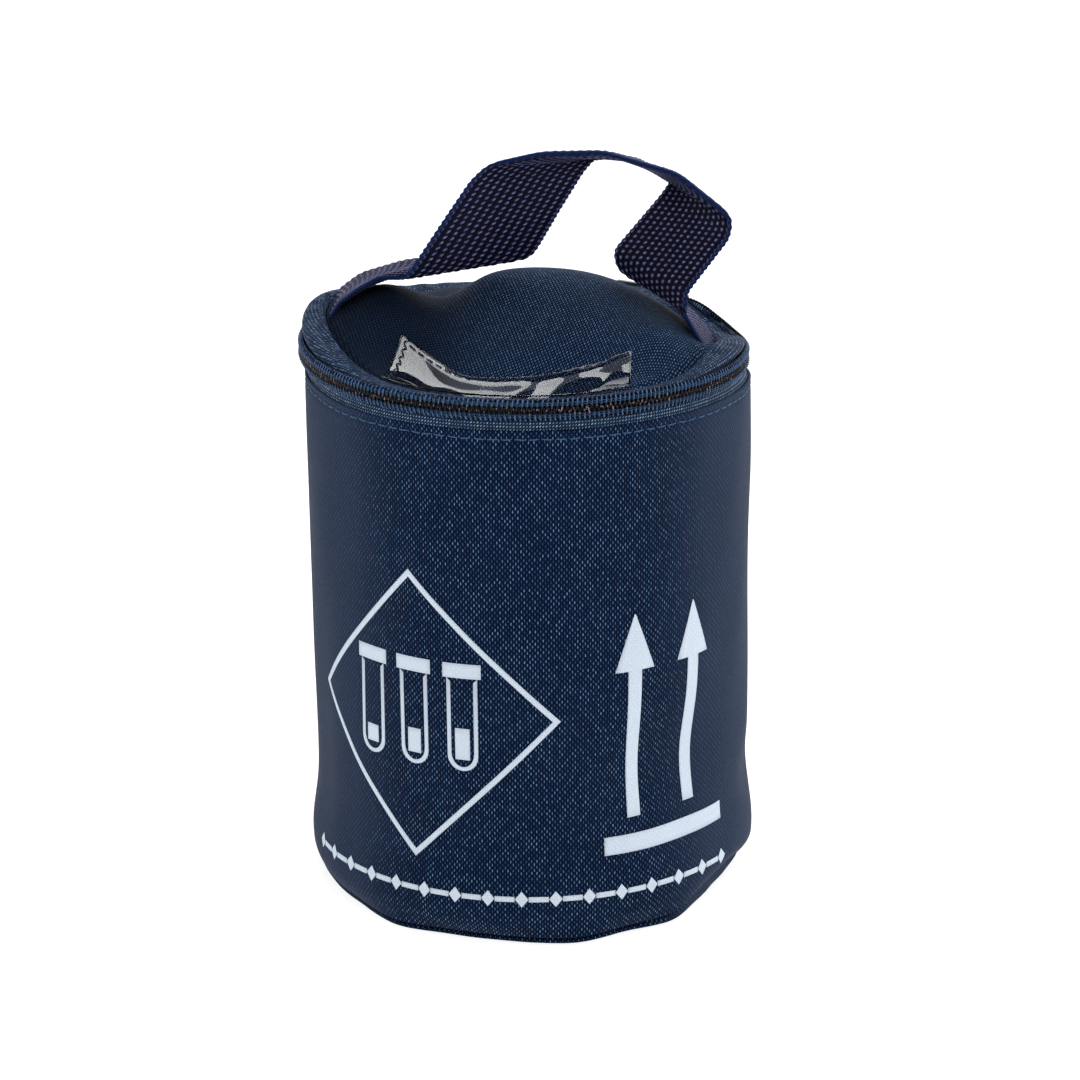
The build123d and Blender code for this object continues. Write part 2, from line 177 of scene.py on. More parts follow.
def through(points, count):
    """Evenly spaced samples of a smooth curve through given points."""
    points = np.array(points, float)
    padded = np.vstack([2 * points[0] - points[1], points, 2 * points[-1] - points[-2]])
    t = np.linspace(0, 1, 24, endpoint=False)[:, None]
    spans = [
        (2 * b + (c - a) * t + (2 * a - 5 * b + 4 * c - d) * t * t + (3 * b - a - 3 * c + d) * t**3) / 2
        for a, b, c, d in zip(padded, padded[1:], padded[2:], padded[3:])
    ]
    return resample(np.vstack(spans + [points[-1:]]), lambda length: np.linspace(0, length, count))


def spread(angle, radius, height):
    """Points in metres from angles off the front (to the right), radii and heights."""
    angle, radius, height = np.broadcast_arrays(angle, radius, height)
    return np.stack([radius * np.sin(angle), -radius * np.cos(angle), height], -1) * MM


def run_lengths(points):
    """Length along each row of points, from its first one."""
    steps = np.linalg.norm(np.diff(points, axis=-2), axis=-1)
    return np.concatenate([np.zeros(steps.shape[:-1] + (1,)), np.cumsum(steps, axis=-1)], axis=-1)


def unit(vectors):
    """Vectors of the same directions with a length of 1."""
    return vectors / np.linalg.norm(vectors, axis=-1, keepdims=True)


def make_object(name, points, faces, uv):
    """Smooth mesh object in the scene, with a UV map in metres."""
    mesh = bpy.data.meshes.new(name)
    mesh.from_pydata(points.tolist(), [], faces)
    layer = mesh.uv_layers.new(name="Cloth")
    layer.data.foreach_set("uv", np.asarray(uv, np.float32).ravel())
    mesh.shade_smooth()
    mesh.update()
    piece = bpy.data.objects.new(name, mesh)
    bpy.context.scene.collection.objects.link(piece)
    return piece


def point_values(piece, label, values):
    """Stores one number for each vertex, for the materials."""
    attribute = piece.data.attributes.new(label, "FLOAT", "POINT")
    attribute.data.foreach_set("value", np.ascontiguousarray(values, np.float32).ravel())


def grid_faces(rows, columns, closed):
    """Corners of the quads of a grid, and the row and column of each corner."""
    spans = columns if closed else columns - 1
    row, span = np.meshgrid(np.arange(rows - 1), np.arange(spans), indexing="ij")
    row_corners = np.stack([row, row, row + 1, row + 1], -1).reshape(-1, 4)
    span_corners = np.stack([span, span + 1, span + 1, span], -1).reshape(-1, 4)
    return row_corners * columns + span_corners % columns, row_corners, span_corners


def grid_piece(name, points, across, along, closed=False):
    """Quad mesh through rows and columns of points; across and along give the UV map."""
    faces, row, span = grid_faces(*points.shape[:2], closed)
    uv = np.stack([across[row, span], along[row, span]], -1)
    return make_object(name, points.reshape(-1, 3), faces.tolist(), uv)


def ring_piece(name, angles, radius, height, closed=True):
    """Cloth that runs round the bag, from rows of radii and heights."""
    points = spread(angles[None, :], radius, height)
    along = run_lengths(points.swapaxes(0, 1)).T
    if closed:
        angles = np.append(angles, angles[0] + 2 * pi)
        along = np.hstack([along, along[:, :1]])
    across = np.broadcast_to(angles * WALL_RADIUS * MM, along.shape)
    return grid_piece(name, points, across, along, closed)


def directions(path):
    """Unit direction of a path at each of its points."""
    ahead = np.roll(path, -1, 0) - np.roll(path, 1, 0)
    ahead[0] = path[1] - path[0]
    ahead[-1] = path[-1] - path[-2]
    return unit(ahead)


def tube(path, width, sides, outward):
    """Points of a round tube along a path; outward is a rough side direction."""
    ahead = directions(path)
    side = unit(outward - ahead * np.sum(outward * ahead, axis=1)[:, None])
    turn = np.arange(sides)[:, None] / sides * 2 * pi
    ring = np.cos(turn) * side[:, None] + np.sin(turn) * np.cross(ahead, side)[:, None]
    return path[:, None] + ring * (width / 2)


def tube_piece(name, paths, width, outward, sides=6):
    """One mesh of several round tubes with closed ends, such as stitches or coils."""
    points, faces, uv = [], [], []
    base = 0
    for path, out in zip(paths, outward):
        quads, row, span = grid_faces(len(path), sides, True)
        faces += (quads + base).tolist()
        uv.append(np.stack([span / sides * width * pi, run_lengths(path)[row]], -1).reshape(-1, 2))
        first = list(range(base, base + sides))
        base += len(path) * sides
        faces += [first[::-1], list(range(base - sides, base))]
        uv.append(np.zeros((2 * sides, 2)))
        points.append(tube(path, width, sides, out).reshape(-1, 3))
    return make_object(name, np.concatenate(points), faces, np.concatenate(uv))


def stitch_piece(name, starts, ends, outward, width, bow):
    """Short stitches that dip into the cloth at both ends."""
    share = np.linspace(0, 1, 6)[:, None]
    rise = bow * (np.sin(share * pi) ** 0.5 - 0.35)
    paths = [start + (end - start) * share + out * rise for start, end, out in zip(starts, ends, outward)]
    return tube_piece(name, paths, width, outward)


def close_ends(piece):
    """Puts a face over each open end of a tube or strip."""
    work = bmesh.new()
    work.from_mesh(piece.data)
    bmesh.ops.holes_fill(work, edges=[edge for edge in work.edges if edge.is_boundary])
    work.to_mesh(piece.data)
    work.free()


# Shape of the bag in millimetres; angles run from the front to the right

BASE_OUTLINE = (
    (-168, 58.6), (-150, 57.0), (-132, 59.2), (-112, 57.0), (-90, 58.8), (-74, 57.2), (-54, 56.8),
    (-37, 59.6), (-24, 57.2), (-8, 57.6), (12, 60.6), (26, 57.6), (40, 59.6), (52, 56.0),
    (66, 54.4), (79, 55.6), (92, 58.5), (112, 56.6), (134, 58.8), (152, 57.0), (172, 58.6),
)
BASE_TUCK = 6.5


def base_outline(angle):
    """Radius of the base on the floor, with the soft corners that its seam makes."""
    places, radii = zip(*BASE_OUTLINE)
    spots = np.degrees(angle)
    near = [np.interp(spots + shift, places, radii, period=360) for shift in (-3, -1.5, 0, 1.5, 3)]
    return sum(near) / len(near)


def seam_level(angle):
    """Height of the seam between the wall and the base."""
    return 2.1 + 5.6 * bell(angle, 62, 20)


def seam_foot(angle):
    """Radius of that seam; at the right it overhangs the tucked-in base."""
    return base_outline(angle) + 0.4 + 2.6 * bell(angle, 62, 22)


def off_front(angle):
    """Degrees between an angle and the front."""
    return np.abs((np.degrees(angle) + 180) % 360 - 180)


def chain_lift(angle):
    """Rise of the zip chain over its level place; it stays level near the ends, for the slider."""
    pull = 1.9 * bell(angle, -97, 34) - 0.9 * bell(angle, 90, 34) - 2.6 * bell(angle, 108, 17)
    return pull * (1 - smooth_step(off_front(angle), 118, 137))


def chain_draw(angle):
    """Change of the zip chain's radius."""
    return -1.7 * bell(angle, 88, 26)


def band_lift(angle):
    """Rise of the band's crest."""
    own = 3.0 * bell(angle, -108, 26) - 4.2 * bell(angle, 116, 26) - 2.4 * bell(angle, 180, 42)
    return chain_lift(angle) + own


def crest_drop(angle):
    """How much flatter the band lies in front than at the sides."""
    return 1 - smooth_step(off_front(angle), 34, 78)


def seam_lift(angle):
    """Rise of the lid seam."""
    return 10.3 * bell(angle, -97, 27) + 3.2 * bell(angle, 71, 12) - 1.5 * bell(angle, 112, 26)


def seam_radius(angle):
    """Radius of the lid seam."""
    return SEAM_RADIUS + 3.6 * bell(angle, -95, 25) + 0.8 * bell(angle, 75, 20)


def wall_drift(angle, height):
    """Soft unevenness of the padded wall."""
    slow = 0.30 * np.sin(2 * angle + height / 38) + 0.22 * np.sin(5 * angle - height / 23 + 1.1)
    quick = 0.14 * np.sin(11 * angle + height / 13) + 0.08 * np.sin(17 * angle - height / 9 + 2)
    low_dent = -1.1 * bell(angle, -72, 9) * np.exp(-(((height - 38) / 24) ** 2))
    kink = -0.9 * bell(angle, 82, 12) * np.exp(-(((height - 31) / 7) ** 2))
    fold = -3.2 * bell(angle, 38, 20) * np.exp(-(((height - 47) / 15) ** 2))
    return (slow + quick) * smooth_step(height, 8, 30) * 0.8 + low_dent + kink + fold


def wall_radius(angle, height):
    """Radius of the outer cloth."""
    middle = WALL_RADIUS - 0.2 + 0.45 * np.sin(angle)
    belly = 1.5 * np.exp(-(((height - 12) / 10) ** 2))
    hem_draw = chain_draw(angle) * 0.35 * smooth_step(height, 112, HEM)
    stitch_draw = -0.28 * np.exp(-(((height - HEM + 2) / 0.9) ** 2))
    full = middle + belly + wall_drift(angle, height) + hem_draw + stitch_draw
    foot = seam_foot(angle)
    rise = np.clip((height - seam_level(angle)) / BASE_TUCK, 0, 1)
    return foot + (full - foot) * np.sin(rise * pi / 2) ** 0.75


def wall_height(angle, height):
    """Height of a mark on the wall after the rim has been pulled up or down."""
    return height + chain_lift(angle) * smooth_step(height, 105, HEM)


def on_wall(run, height, proud):
    """Point on the outer cloth at a run round the wall from the front, in metres."""
    angle = np.asarray(run, float) / WALL_RADIUS
    return spread(angle, wall_radius(angle, height) + proud, wall_height(angle, height))


BAND_PROFILE = (
    (59.0, 147.9), (59.1, 149.6), (59.15, 151.0), (59.8, 151.6), (60.0, 152.4), (59.3, 153.2),
    (57.6, 153.7), (55.4, 153.3), (53.2, 152.1), (51.6, 150.5), (50.6, 148.9), (50.15, 147.3),
)
BAND_FRONT = (
    (59.0, 147.9), (59.1, 149.2), (59.1, 149.9), (58.8, 150.2), (58.2, 150.2), (57.4, 150.0),
    (56.0, 149.7), (54.6, 149.3), (53.0, 148.9), (51.6, 148.5), (50.7, 148.0), (50.15, 147.3),
)


def band_rows(profile, angles, rows):
    """Radii and heights of the band at each angle, with its pull and puckers."""
    puffed, flat = through(profile, rows)[..., None], through(BAND_FRONT, rows)[..., None]
    rows = puffed + (flat - puffed) * crest_drop(angles)
    radius, height = rows[:, 0], rows[:, 1]
    to_crest = smooth_step(height, HEM + 8, 153) * (radius > 56) + (radius <= 56)
    to_seam = smooth_step(-radius, -57, -SEAM_RADIUS)
    lift = chain_lift(angles) + (band_lift(angles) - chain_lift(angles)) * to_crest
    lift = lift + (seam_lift(angles) - lift) * to_seam
    draw = chain_draw(angles) * (1 - 0.6 * to_seam)
    pucker = 0.22 * np.sin(angles * 31 + np.sin(angles * 7) * 2) + 0.15 * np.sin(angles * 53 + 1)
    waves = pucker * np.sin(np.clip((59.5 - radius) / 9, 0, 1) * pi) * (height > 151)
    seam_pull = 0.16 * np.sin(angles * 87 + np.sin(angles * 5)) * smooth_step(-radius, -53, -50.2)
    spreading = (seam_radius(angles) - SEAM_RADIUS) * smooth_step(-radius, -56, -50.5)
    return radius + draw + spreading + seam_pull * 0.5, height + lift + waves + seam_pull


# Lid: listed points that the cloth passes through inside its seam

LID_POINTS = (
    (-32.9, -15.5, 155.4), (-26.2, -20.0, 151.1), (-21.1, -24.0, 148.7), (-16.4, -26.5, 147.3),
    (-10.7, -28.0, 147.0), (-2.9, -28.5, 147.1), (6.8, -28.5, 148.1), (13.5, -28.5, 149.6),
    (19.5, -28.5, 151.0), (22.9, -28.5, 152.6), (27.3, -28.5, 153.7), (-27.0, -33.0, 145.0),
    (-12.0, -37.0, 142.5), (0.0, -38.0, 142.5), (13.0, -38.0, 144.4), (27.0, -37.5, 149.0),
    (36.5, -24.0, 155.0), (-40.5, -9.0, 159.5), (-36.0, 2.0, 163.8), (-37.0, 14.0, 161.5),
    (-24.5, 3.0, 159.6), (-22.0, 13.0, 158.6), (-27.0, -8.0, 157.2), (-12.0, -8.0, 158.0),
    (-11.0, 8.0, 165.3), (1.0, -7.0, 160.3), (1.0, 7.0, 166.6), (17.0, -8.0, 161.9),
    (17.0, 7.0, 165.6), (29.0, -6.0, 160.0), (30.0, 12.0, 160.3), (41.0, -3.0, 154.8),
    (40.0, 14.0, 153.6), (0.0, 26.0, 161.6), (-20.0, 28.0, 157.5), (20.0, 27.0, 158.6),
    (0.0, 40.0, 155.0), (-26.0, 36.0, 153.4), (27.0, 34.0, 152.6),
)
LID_SOFTNESS = 0.4


def thin_plate(points):
    """Height field that bends as little as it can on its way through the points."""
    points = np.array(points, float)
    flat, height = points[:, :2] / 50, points[:, 2]

    def swell(distance):
        return np.where(distance > 1e-9, distance**2 * np.log(np.maximum(distance, 1e-9)), 0)

    count = len(points)
    matrix = np.zeros((count + 3, count + 3))
    matrix[:count, :count] = swell(np.linalg.norm(flat[:, None] - flat[None], axis=-1))
    matrix[:count, :count] += np.eye(count) * LID_SOFTNESS * 1e-3
    matrix[:count, count:] = np.hstack([np.ones((count, 1)), flat])
    matrix[count:, :count] = matrix[:count, count:].T
    weights = np.linalg.solve(matrix, np.append(height, [0, 0, 0]))

    def height_at(x, y):
        spot = np.stack([np.asarray(x, float), np.asarray(y, float)], -1) / 50
        away = np.linalg.norm(spot[..., None, :] - flat, axis=-1)
        plane = weights[count] + weights[count + 1] * spot[..., 0] + weights[count + 2] * spot[..., 1]
        return swell(away) @ weights[:count] + plane

    return height_at


def lid_surface():
    """Height of the lid cloth over the bag's plan."""
    ring = []
    for angle in np.linspace(-pi, pi, 48, endpoint=False):
        rim = float(seam_radius(angle))
        ring.append((rim * sin(angle), -rim * cos(angle), SEAM + 0.4 + float(seam_lift(angle))))
    return thin_plate(LID_POINTS + tuple(ring))


# Materials


class Graph:
    """Short forms for adding and wiring shader nodes."""

    def __init__(self, tree):
        self.tree = tree

    def feed(self, socket, value):
        """Wires or sets a socket; a colour gets full alpha."""
        if isinstance(value, bpy.types.NodeSocket):
            self.tree.links.new(value, socket)
        else:
            socket.default_value = (*value[:3], 1.0) if socket.type == "RGBA" else value

    def add(self, kind, inputs=(), **options):
        node = self.tree.nodes.new(kind)
        for key, value in options.items():
            setattr(node, key, value)
        for key, value in dict(inputs).items():
            self.feed(node.inputs[key], value)
        return node

    def math(self, operation, *values):
        return self.add("ShaderNodeMath", enumerate(values), operation=operation).outputs[0]

    def times(self, first, *others):
        for other in others:
            first = self.math("MULTIPLY", first, other)
        return first

    def line(self, value, slope, start):
        return self.math("MULTIPLY_ADD", value, slope, start)

    def mix(self, share, first, second):
        inputs = {0: share, 6: first, 7: second}
        return self.add("ShaderNodeMix", inputs, data_type="RGBA").outputs[2]

    def between(self, share, first, second):
        return self.add("ShaderNodeMix", {0: share, 2: first, 3: second}).outputs[0]

    def noise(self, vector, scale, detail=2.0):
        inputs = {"Vector": vector, "Scale": scale, "Detail": detail}
        return self.add("ShaderNodeTexNoise", inputs).outputs["Fac"]

    def ramp(self, value, low, high):
        inputs = {"Value": value, "From Min": low, "From Max": high}
        return self.add("ShaderNodeMapRange", inputs, interpolation_type="SMOOTHSTEP").outputs[0]

    def axes(self, vector):
        return self.add("ShaderNodeSeparateXYZ", {0: vector}).outputs

    def cloth(self):
        return self.add("ShaderNodeUVMap", uv_map="Cloth").outputs[0]

    def place(self):
        return self.add("ShaderNodeTexCoord").outputs["Object"]

    def stored(self, label):
        return self.add("ShaderNodeAttribute", attribute_name=label).outputs["Fac"]

    def group(self, tree, inputs):
        return self.add("ShaderNodeGroup", inputs, node_tree=tree).outputs

    def worn(self, colour, dust, amount):
        return self.group(light_wear(), {"Color": colour, "Dust": dust, "Amount": amount})


def made_once(store, name):
    """Lets a function build a data block of that name only the first time it is wanted."""
    def wrap(build):
        return lambda: getattr(bpy.data, store).get(name) or build(name)
    return wrap


def shader_group(name, inputs, outputs):
    """Empty node group with sockets of the given kinds: its graph, inputs and outputs."""
    graph = Graph(bpy.data.node_groups.new(name, "ShaderNodeTree"))
    for way, sockets in (("INPUT", inputs), ("OUTPUT", outputs)):
        for label, kind in sockets.items():
            graph.tree.interface.new_socket(name=label, in_out=way, socket_type="NodeSocket" + kind)
    return graph, graph.add("NodeGroupInput").outputs, graph.add("NodeGroupOutput").inputs


@made_once("node_groups", "Plain Weave")
def plain_weave(name):
    """Plain weave: threads over and under each other, with uneven yarn, painted light on the thread crowns,
    painted shade in the hollows and painted glints as bright dashes.
    """
    g, given, made = shader_group(name, {
        "Vector": "Vector", "Warp Pitch": "Float", "Weft Pitch": "Float", "Turn": "Float", "Ground": "Color",
        "Thread": "Color", "Glint": "Color", "Glint Share": "Float", "Dash": "Float",
    }, {"Color": "Color", "Height": "Float", "Roughness": "Float"})
    turned = g.add(
        "ShaderNodeVectorRotate", {"Vector": given["Vector"], "Angle": given["Turn"]}, rotation_type="Z_AXIS"
    ).outputs[0]
    axes = g.axes(turned)
    sway = g.times(g.math("SUBTRACT", g.noise(given["Vector"], 260.0), 0.5), 0.5)
    cells, crowns = [], []
    for axis, pitch in (("X", "Warp Pitch"), ("Y", "Weft Pitch")):
        place = g.math("ADD", g.math("DIVIDE", axes[axis], given[pitch]), sway)
        cells.append(g.math("FLOOR", place))
        off = g.math("ABSOLUTE", g.math("SUBTRACT", g.math("SUBTRACT", place, cells[-1]), 0.5))
        crowns.append(g.math("COSINE", g.times(off, pi * 0.96)))
    over = g.math("FLOORED_MODULO", g.math("ADD", *cells), 2.0)
    warp = g.times(crowns[0], g.line(crowns[1], 0.55, 0.45))
    weft = g.times(crowns[1], g.line(crowns[0], 0.55, 0.45), 0.55)
    height = g.between(over, weft, warp)
    cell = g.add("ShaderNodeCombineXYZ", enumerate(cells)).outputs[0]
    chance = g.add("ShaderNodeTexWhiteNoise", {"Vector": cell}, noise_dimensions="3D").outputs["Value"]
    # painted light and shade: raised thread crowns take the thread colour and the hollows the ground colour;
    # the noise adds uneven yarn
    shade = g.times(height, g.line(g.noise(given["Vector"], 60.0, 4.0), 1.2, 0.4))
    # painted highlights: narrow dashes on the warp crowns, lit at random per cell, take the glint colour
    narrow = g.times(g.math("POWER", crowns[0], 9.0), g.math("POWER", crowns[1], 0.5), over)
    lit = g.times(g.math("POWER", chance, 2.0), given["Glint Share"])
    dash = g.times(narrow, g.math("ADD", lit, given["Dash"]))
    g.feed(made["Color"], g.mix(dash, g.mix(shade, given["Ground"], given["Thread"]), given["Glint"]))
    g.feed(made["Height"], height)
    g.feed(made["Roughness"], g.between(narrow, 0.62, 0.3))
    return g.tree


@made_once("node_groups", "Light Wear")
def light_wear(name):
    """Faint dust, rubbing and lint that any used cloth or metal shows."""
    inputs = {"Color": "Color", "Dust": "Color", "Amount": "Float"}
    g, given, made = shader_group(name, inputs, {"Color": "Color", "Mask": "Float"})
    broad = g.ramp(g.noise(g.place(), 26.0, 5.0), 0.45, 0.85)
    fine = g.ramp(g.noise(g.place(), 900.0, 1.0), 0.62, 0.8)
    mask = g.times(g.line(fine, 0.5, broad), given["Amount"])
    g.feed(made["Color"], g.mix(mask, given["Color"], given["Dust"]))
    g.feed(made["Mask"], mask)
    return g.tree


def new_material(name, settings=()):
    """Graph of a new material, and a function that wires its surface and returns it."""
    material = bpy.data.materials.new(name)
    material.use_nodes = True
    g = Graph(material.node_tree)
    sockets = g.tree.nodes["Principled BSDF"].inputs
    for key, value in dict(settings).items():
        g.feed(sockets[key], value)

    def surface(colour, roughness, height=None, depth=0.0, strength=1.0, metallic=None):
        """Wires colour, roughness and a bump of that depth in millimetres."""
        parts = {"Base Color": colour, "Roughness": roughness, "Metallic": metallic}
        if height:
            bump = {"Height": height, "Distance": depth * MM, "Strength": strength}
            parts["Normal"] = g.add("ShaderNodeBump", bump).outputs[0]
        for key, value in parts.items():
            if value is not None:
                g.feed(sockets[key], value)
        return material

    return g, surface


def facing(g, across):
    """Cosine of the turn round the wall: 1 in front and -1 at the back."""
    return g.math("COSINE", g.math("DIVIDE", across, WALL_RADIUS * MM))


def calm_sides(g, across):
    """Painted glints in full at the front and the back, and few at the sides of the wall."""
    return g.ramp(g.math("ABSOLUTE", facing(g, across)), 0.6, 0.95)


def calm_cheek(g, across):
    """Few painted glints on the left cheek of the lid."""
    return g.ramp(across, -30 * MM, -8 * MM)


def painted_side_sheen(g, axes):
    """Painted sheen: paler sides of the wall, where the threads show their flanks to grazing light."""
    away = g.math("SUBTRACT", 1.0, calm_sides(g, axes["X"]))
    return g.times(away, away, 0.25)


def cheek_shade(g, axes):
    """Painted shade: dark left cheek of the lid."""
    return g.line(calm_cheek(g, axes["X"]), -0.5, 0.5)


def coil_shade(light, dark):
    """Painted shade on the part of a tape behind its coil, between two heights on the cloth in millimetres.
    """
    def shade(g, axes):
        front = g.ramp(facing(g, axes["X"]), -0.3, -0.05)
        return g.times(g.ramp(axes["Y"], light * MM, dark * MM), 0.9, front)
    return shade


CLOTH_DUST = 0.006


def weave_material(name, colours, pitch, share, turn=0.0, dash=0.15, relief=0.12, sheen=0.01,
                   gloss=0.015, calm=None, shade=None, tone=paint(1, 4, 12)):
    """Woven cloth in three colours for painted shade, painted light and painted glints; calm shares out the
    painted glints, and shade mixes in tone: painted shade on most cloths, painted sheen on the wall's sides.
    """
    g, surface = new_material(name, {
        "Sheen Weight": sheen, "Sheen Roughness": 0.5, "Sheen Tint": (0.75, 0.85, 1.0),
        "Specular IOR Level": gloss,
    })
    axes = g.axes(g.cloth())
    if calm:
        lively = calm(g, axes["X"])
        share = g.times(g.line(lively, 0.8, 0.2), share)
        dash = g.times(g.line(lively, 0.6, 0.4), dash)
    woven = g.group(plain_weave(), {
        "Vector": g.cloth(), "Warp Pitch": pitch[0], "Weft Pitch": pitch[1], "Turn": turn,
        "Ground": colours[0], "Thread": colours[1], "Glint": colours[2], "Glint Share": share, "Dash": dash,
    })
    colour = g.worn(woven["Color"], paint(150, 165, 190), CLOTH_DUST)["Color"]
    if shade:
        colour = g.mix(shade(g, axes), colour, tone)
    return surface(colour, woven["Roughness"], woven["Height"], relief)


@made_once("materials", "Wall Cloth")
def wall_cloth_material(name):
    s = settings("cloth")
    # painted glints strongest at the front and the back; painted sheen in a pale tone on the sides
    return weave_material(name, (s.ground, s.thread, s.glint), (s.warp, s.weft), 0.85, sheen=0.03,
                          calm=calm_sides, shade=painted_side_sheen, tone=paint(70, 82, 106))


@made_once("materials", "Lid Cloth")
def lid_cloth_material(name):
    s = settings("cloth")
    # painted glints as bright dots, fewer on the left cheek, which gets painted shade
    return weave_material(name, (s.ground, s.thread, paint(104, 140, 182)), (s.lid_pitch, s.lid_pitch), 0.9,
                          radians(28), 0.5, relief=0.16, sheen=0.05, calm=calm_cheek, shade=cheek_shade)


@made_once("materials", "Band Cloth")
def band_cloth_material(name):
    s = settings("cloth")
    # glint colour for painted glints; painted shade where the band lies behind the upper coil
    colours = (paint(3, 15, 34), paint(18, 42, 74), paint(150, 182, 222))
    return weave_material(name, colours, (s.warp, s.warp), 1.0, radians(40), 0.04, sheen=0.03, gloss=0.04,
                          shade=coil_shade(3.1, 2.5))


@made_once("materials", "Print Ink")
def print_material(name):
    s = settings("cloth")
    # faint painted glints over the ink's weave
    colours = (paint(196, 208, 223), s.ink, paint(214, 224, 236))
    return weave_material(name, colours, (s.warp, s.weft), 0.2, dash=0.4, sheen=0.0)


@made_once("materials", "Zip Tape")
def tape_material(name):
    # painted glints along the twill; painted shade where the tape lies behind the lower coil
    colours = (paint(6, 16, 32), settings("cloth").tape, paint(170, 205, 235))
    return weave_material(name, colours, (0.6 * MM, 0.6 * MM), 1.0, radians(45), 0.32, sheen=0.03, gloss=0.05,
                          shade=coil_shade(13.4, 14.0))


@made_once("materials", "Binding")
def binding_material(name):
    # faint painted glints on the binding's weave
    colours = (paint(12, 18, 30), paint(34, 44, 62), paint(80, 96, 120))
    return weave_material(name, colours, (0.7 * MM, 0.9 * MM), 0.4)


@made_once("materials", "Lining Film")
def lining_material(name):
    """Wipe-clean film over foam, with a fine grain and soft folds."""
    g, surface = new_material(name, {"Coat Weight": 0.15, "Coat Roughness": 0.3})
    folds = g.noise(g.place(), 90.0, 6.0)
    # painted light: the film is paler on the raised crests of its folds
    film = g.mix(g.ramp(folds, 0.35, 0.7), settings("cloth").lining, paint(198, 203, 208))
    colour = g.worn(film, paint(140, 145, 150), 0.15)["Color"]
    height = g.line(g.noise(g.place(), 1400.0), 0.08, folds)
    return surface(colour, g.between(folds, 0.3, 0.5), height, 0.5, 0.7)


def thread_material(name, dark, light):
    """Twisted thread: fine slanted plies along its length, with painted light on their crowns and painted
    shade between them.
    """
    g, surface = new_material(name, {"Sheen Weight": 0.05, "Specular IOR Level": 0.2})
    axes = g.axes(g.cloth())
    ply = g.math("SINE", g.line(axes["Y"], 2 * pi / (0.45 * MM), g.times(axes["X"], 5000.0)))
    share = g.line(ply, 0.5, 0.5)
    return surface(g.mix(share, dark, light), g.between(share, 0.6, 0.4), share, 0.05)


@made_once("materials", "Blue Thread")
def blue_thread_material(name):
    return thread_material(name, paint(24, 52, 84), paint(64, 104, 146))


@made_once("materials", "Dark Thread")
def dark_thread_material(name):
    return thread_material(name, paint(8, 14, 26), paint(34, 46, 66))


@made_once("materials", "Zip Filament")
def coil_material(name):
    """Dark nylon filament: painted blue highlights on its sewn backs, and painted shade with painted brownish
    glints on its heads.
    """
    g, surface = new_material(name, {
        "Specular IOR Level": 0.12, "Coat Weight": 0.06, "Coat Roughness": 0.12,
    })
    streaks = g.noise(g.place(), 1500.0, 3.0)
    outward = g.math("COSINE", g.times(g.axes(g.cloth())["X"], 2 / settings("hardware").wire))
    # painted highlight: streaks of blue light on the outward side of the sewn backs
    lit = g.times(g.ramp(outward, 0.5, 1.0), g.ramp(streaks, 0.35, 0.6))
    # painted glints: brownish specks on the outward side of the heads
    glint = g.times(g.ramp(outward, 0.7, 1.0), g.ramp(streaks, 0.57, 0.66))
    sewn = g.mix(lit, paint(2, 8, 20), paint(74, 106, 152))
    heads_shade_and_glints = g.mix(glint, paint(1, 5, 14), paint(150, 132, 136))
    # painted shade: the heads between the two coils stay near-black apart from their painted glints
    colour = g.mix(g.ramp(g.stored("Head"), 0.45, 0.6), sewn, heads_shade_and_glints)
    return surface(g.worn(colour, paint(165, 130, 120), 0.03)["Color"], g.between(streaks, 0.22, 0.5))


@made_once("materials", "Slider Enamel")
def metal_material(name):
    """Enamelled slider metal with bright rubbed edges."""
    g, surface = new_material(name, {"Coat Weight": 0.6, "Coat Roughness": 0.12})
    edges = g.add("ShaderNodeNewGeometry").outputs["Pointiness"]
    rubbed = g.times(g.ramp(edges, 0.6, 0.75), g.ramp(g.noise(g.place(), 900.0), 0.55, 0.75))
    enamel = g.mix(rubbed, settings("hardware").enamel, paint(150, 152, 155))
    worn = g.worn(enamel, paint(90, 95, 105), 0.2)
    return surface(worn["Color"], g.line(worn["Mask"], 0.4, 0.28), metallic=rubbed)


@made_once("materials", "Fibre Board")
def board_material(name):
    """Grey fibre board."""
    g, surface = new_material(name)
    fibres = g.noise(g.place(), 700.0, 5.0)
    return surface(g.mix(fibres, paint(92, 88, 80), paint(128, 122, 112)), g.between(fibres, 0.7, 0.9))


@made_once("materials", "Clear Sheet")
def clear_material(name):
    """Soft clear sheet with faint scuffs."""
    g, surface = new_material(name, {"Transmission Weight": 1.0, "IOR": 1.53, "Specular IOR Level": 1.0})
    scuffs = g.ramp(g.noise(g.place(), 160.0, 6.0), 0.55, 0.9)
    return surface((0.96, 0.98, 1.0), g.line(scuffs, 0.02, 0.008), g.noise(g.place(), 75.0), 0.3, 0.25)


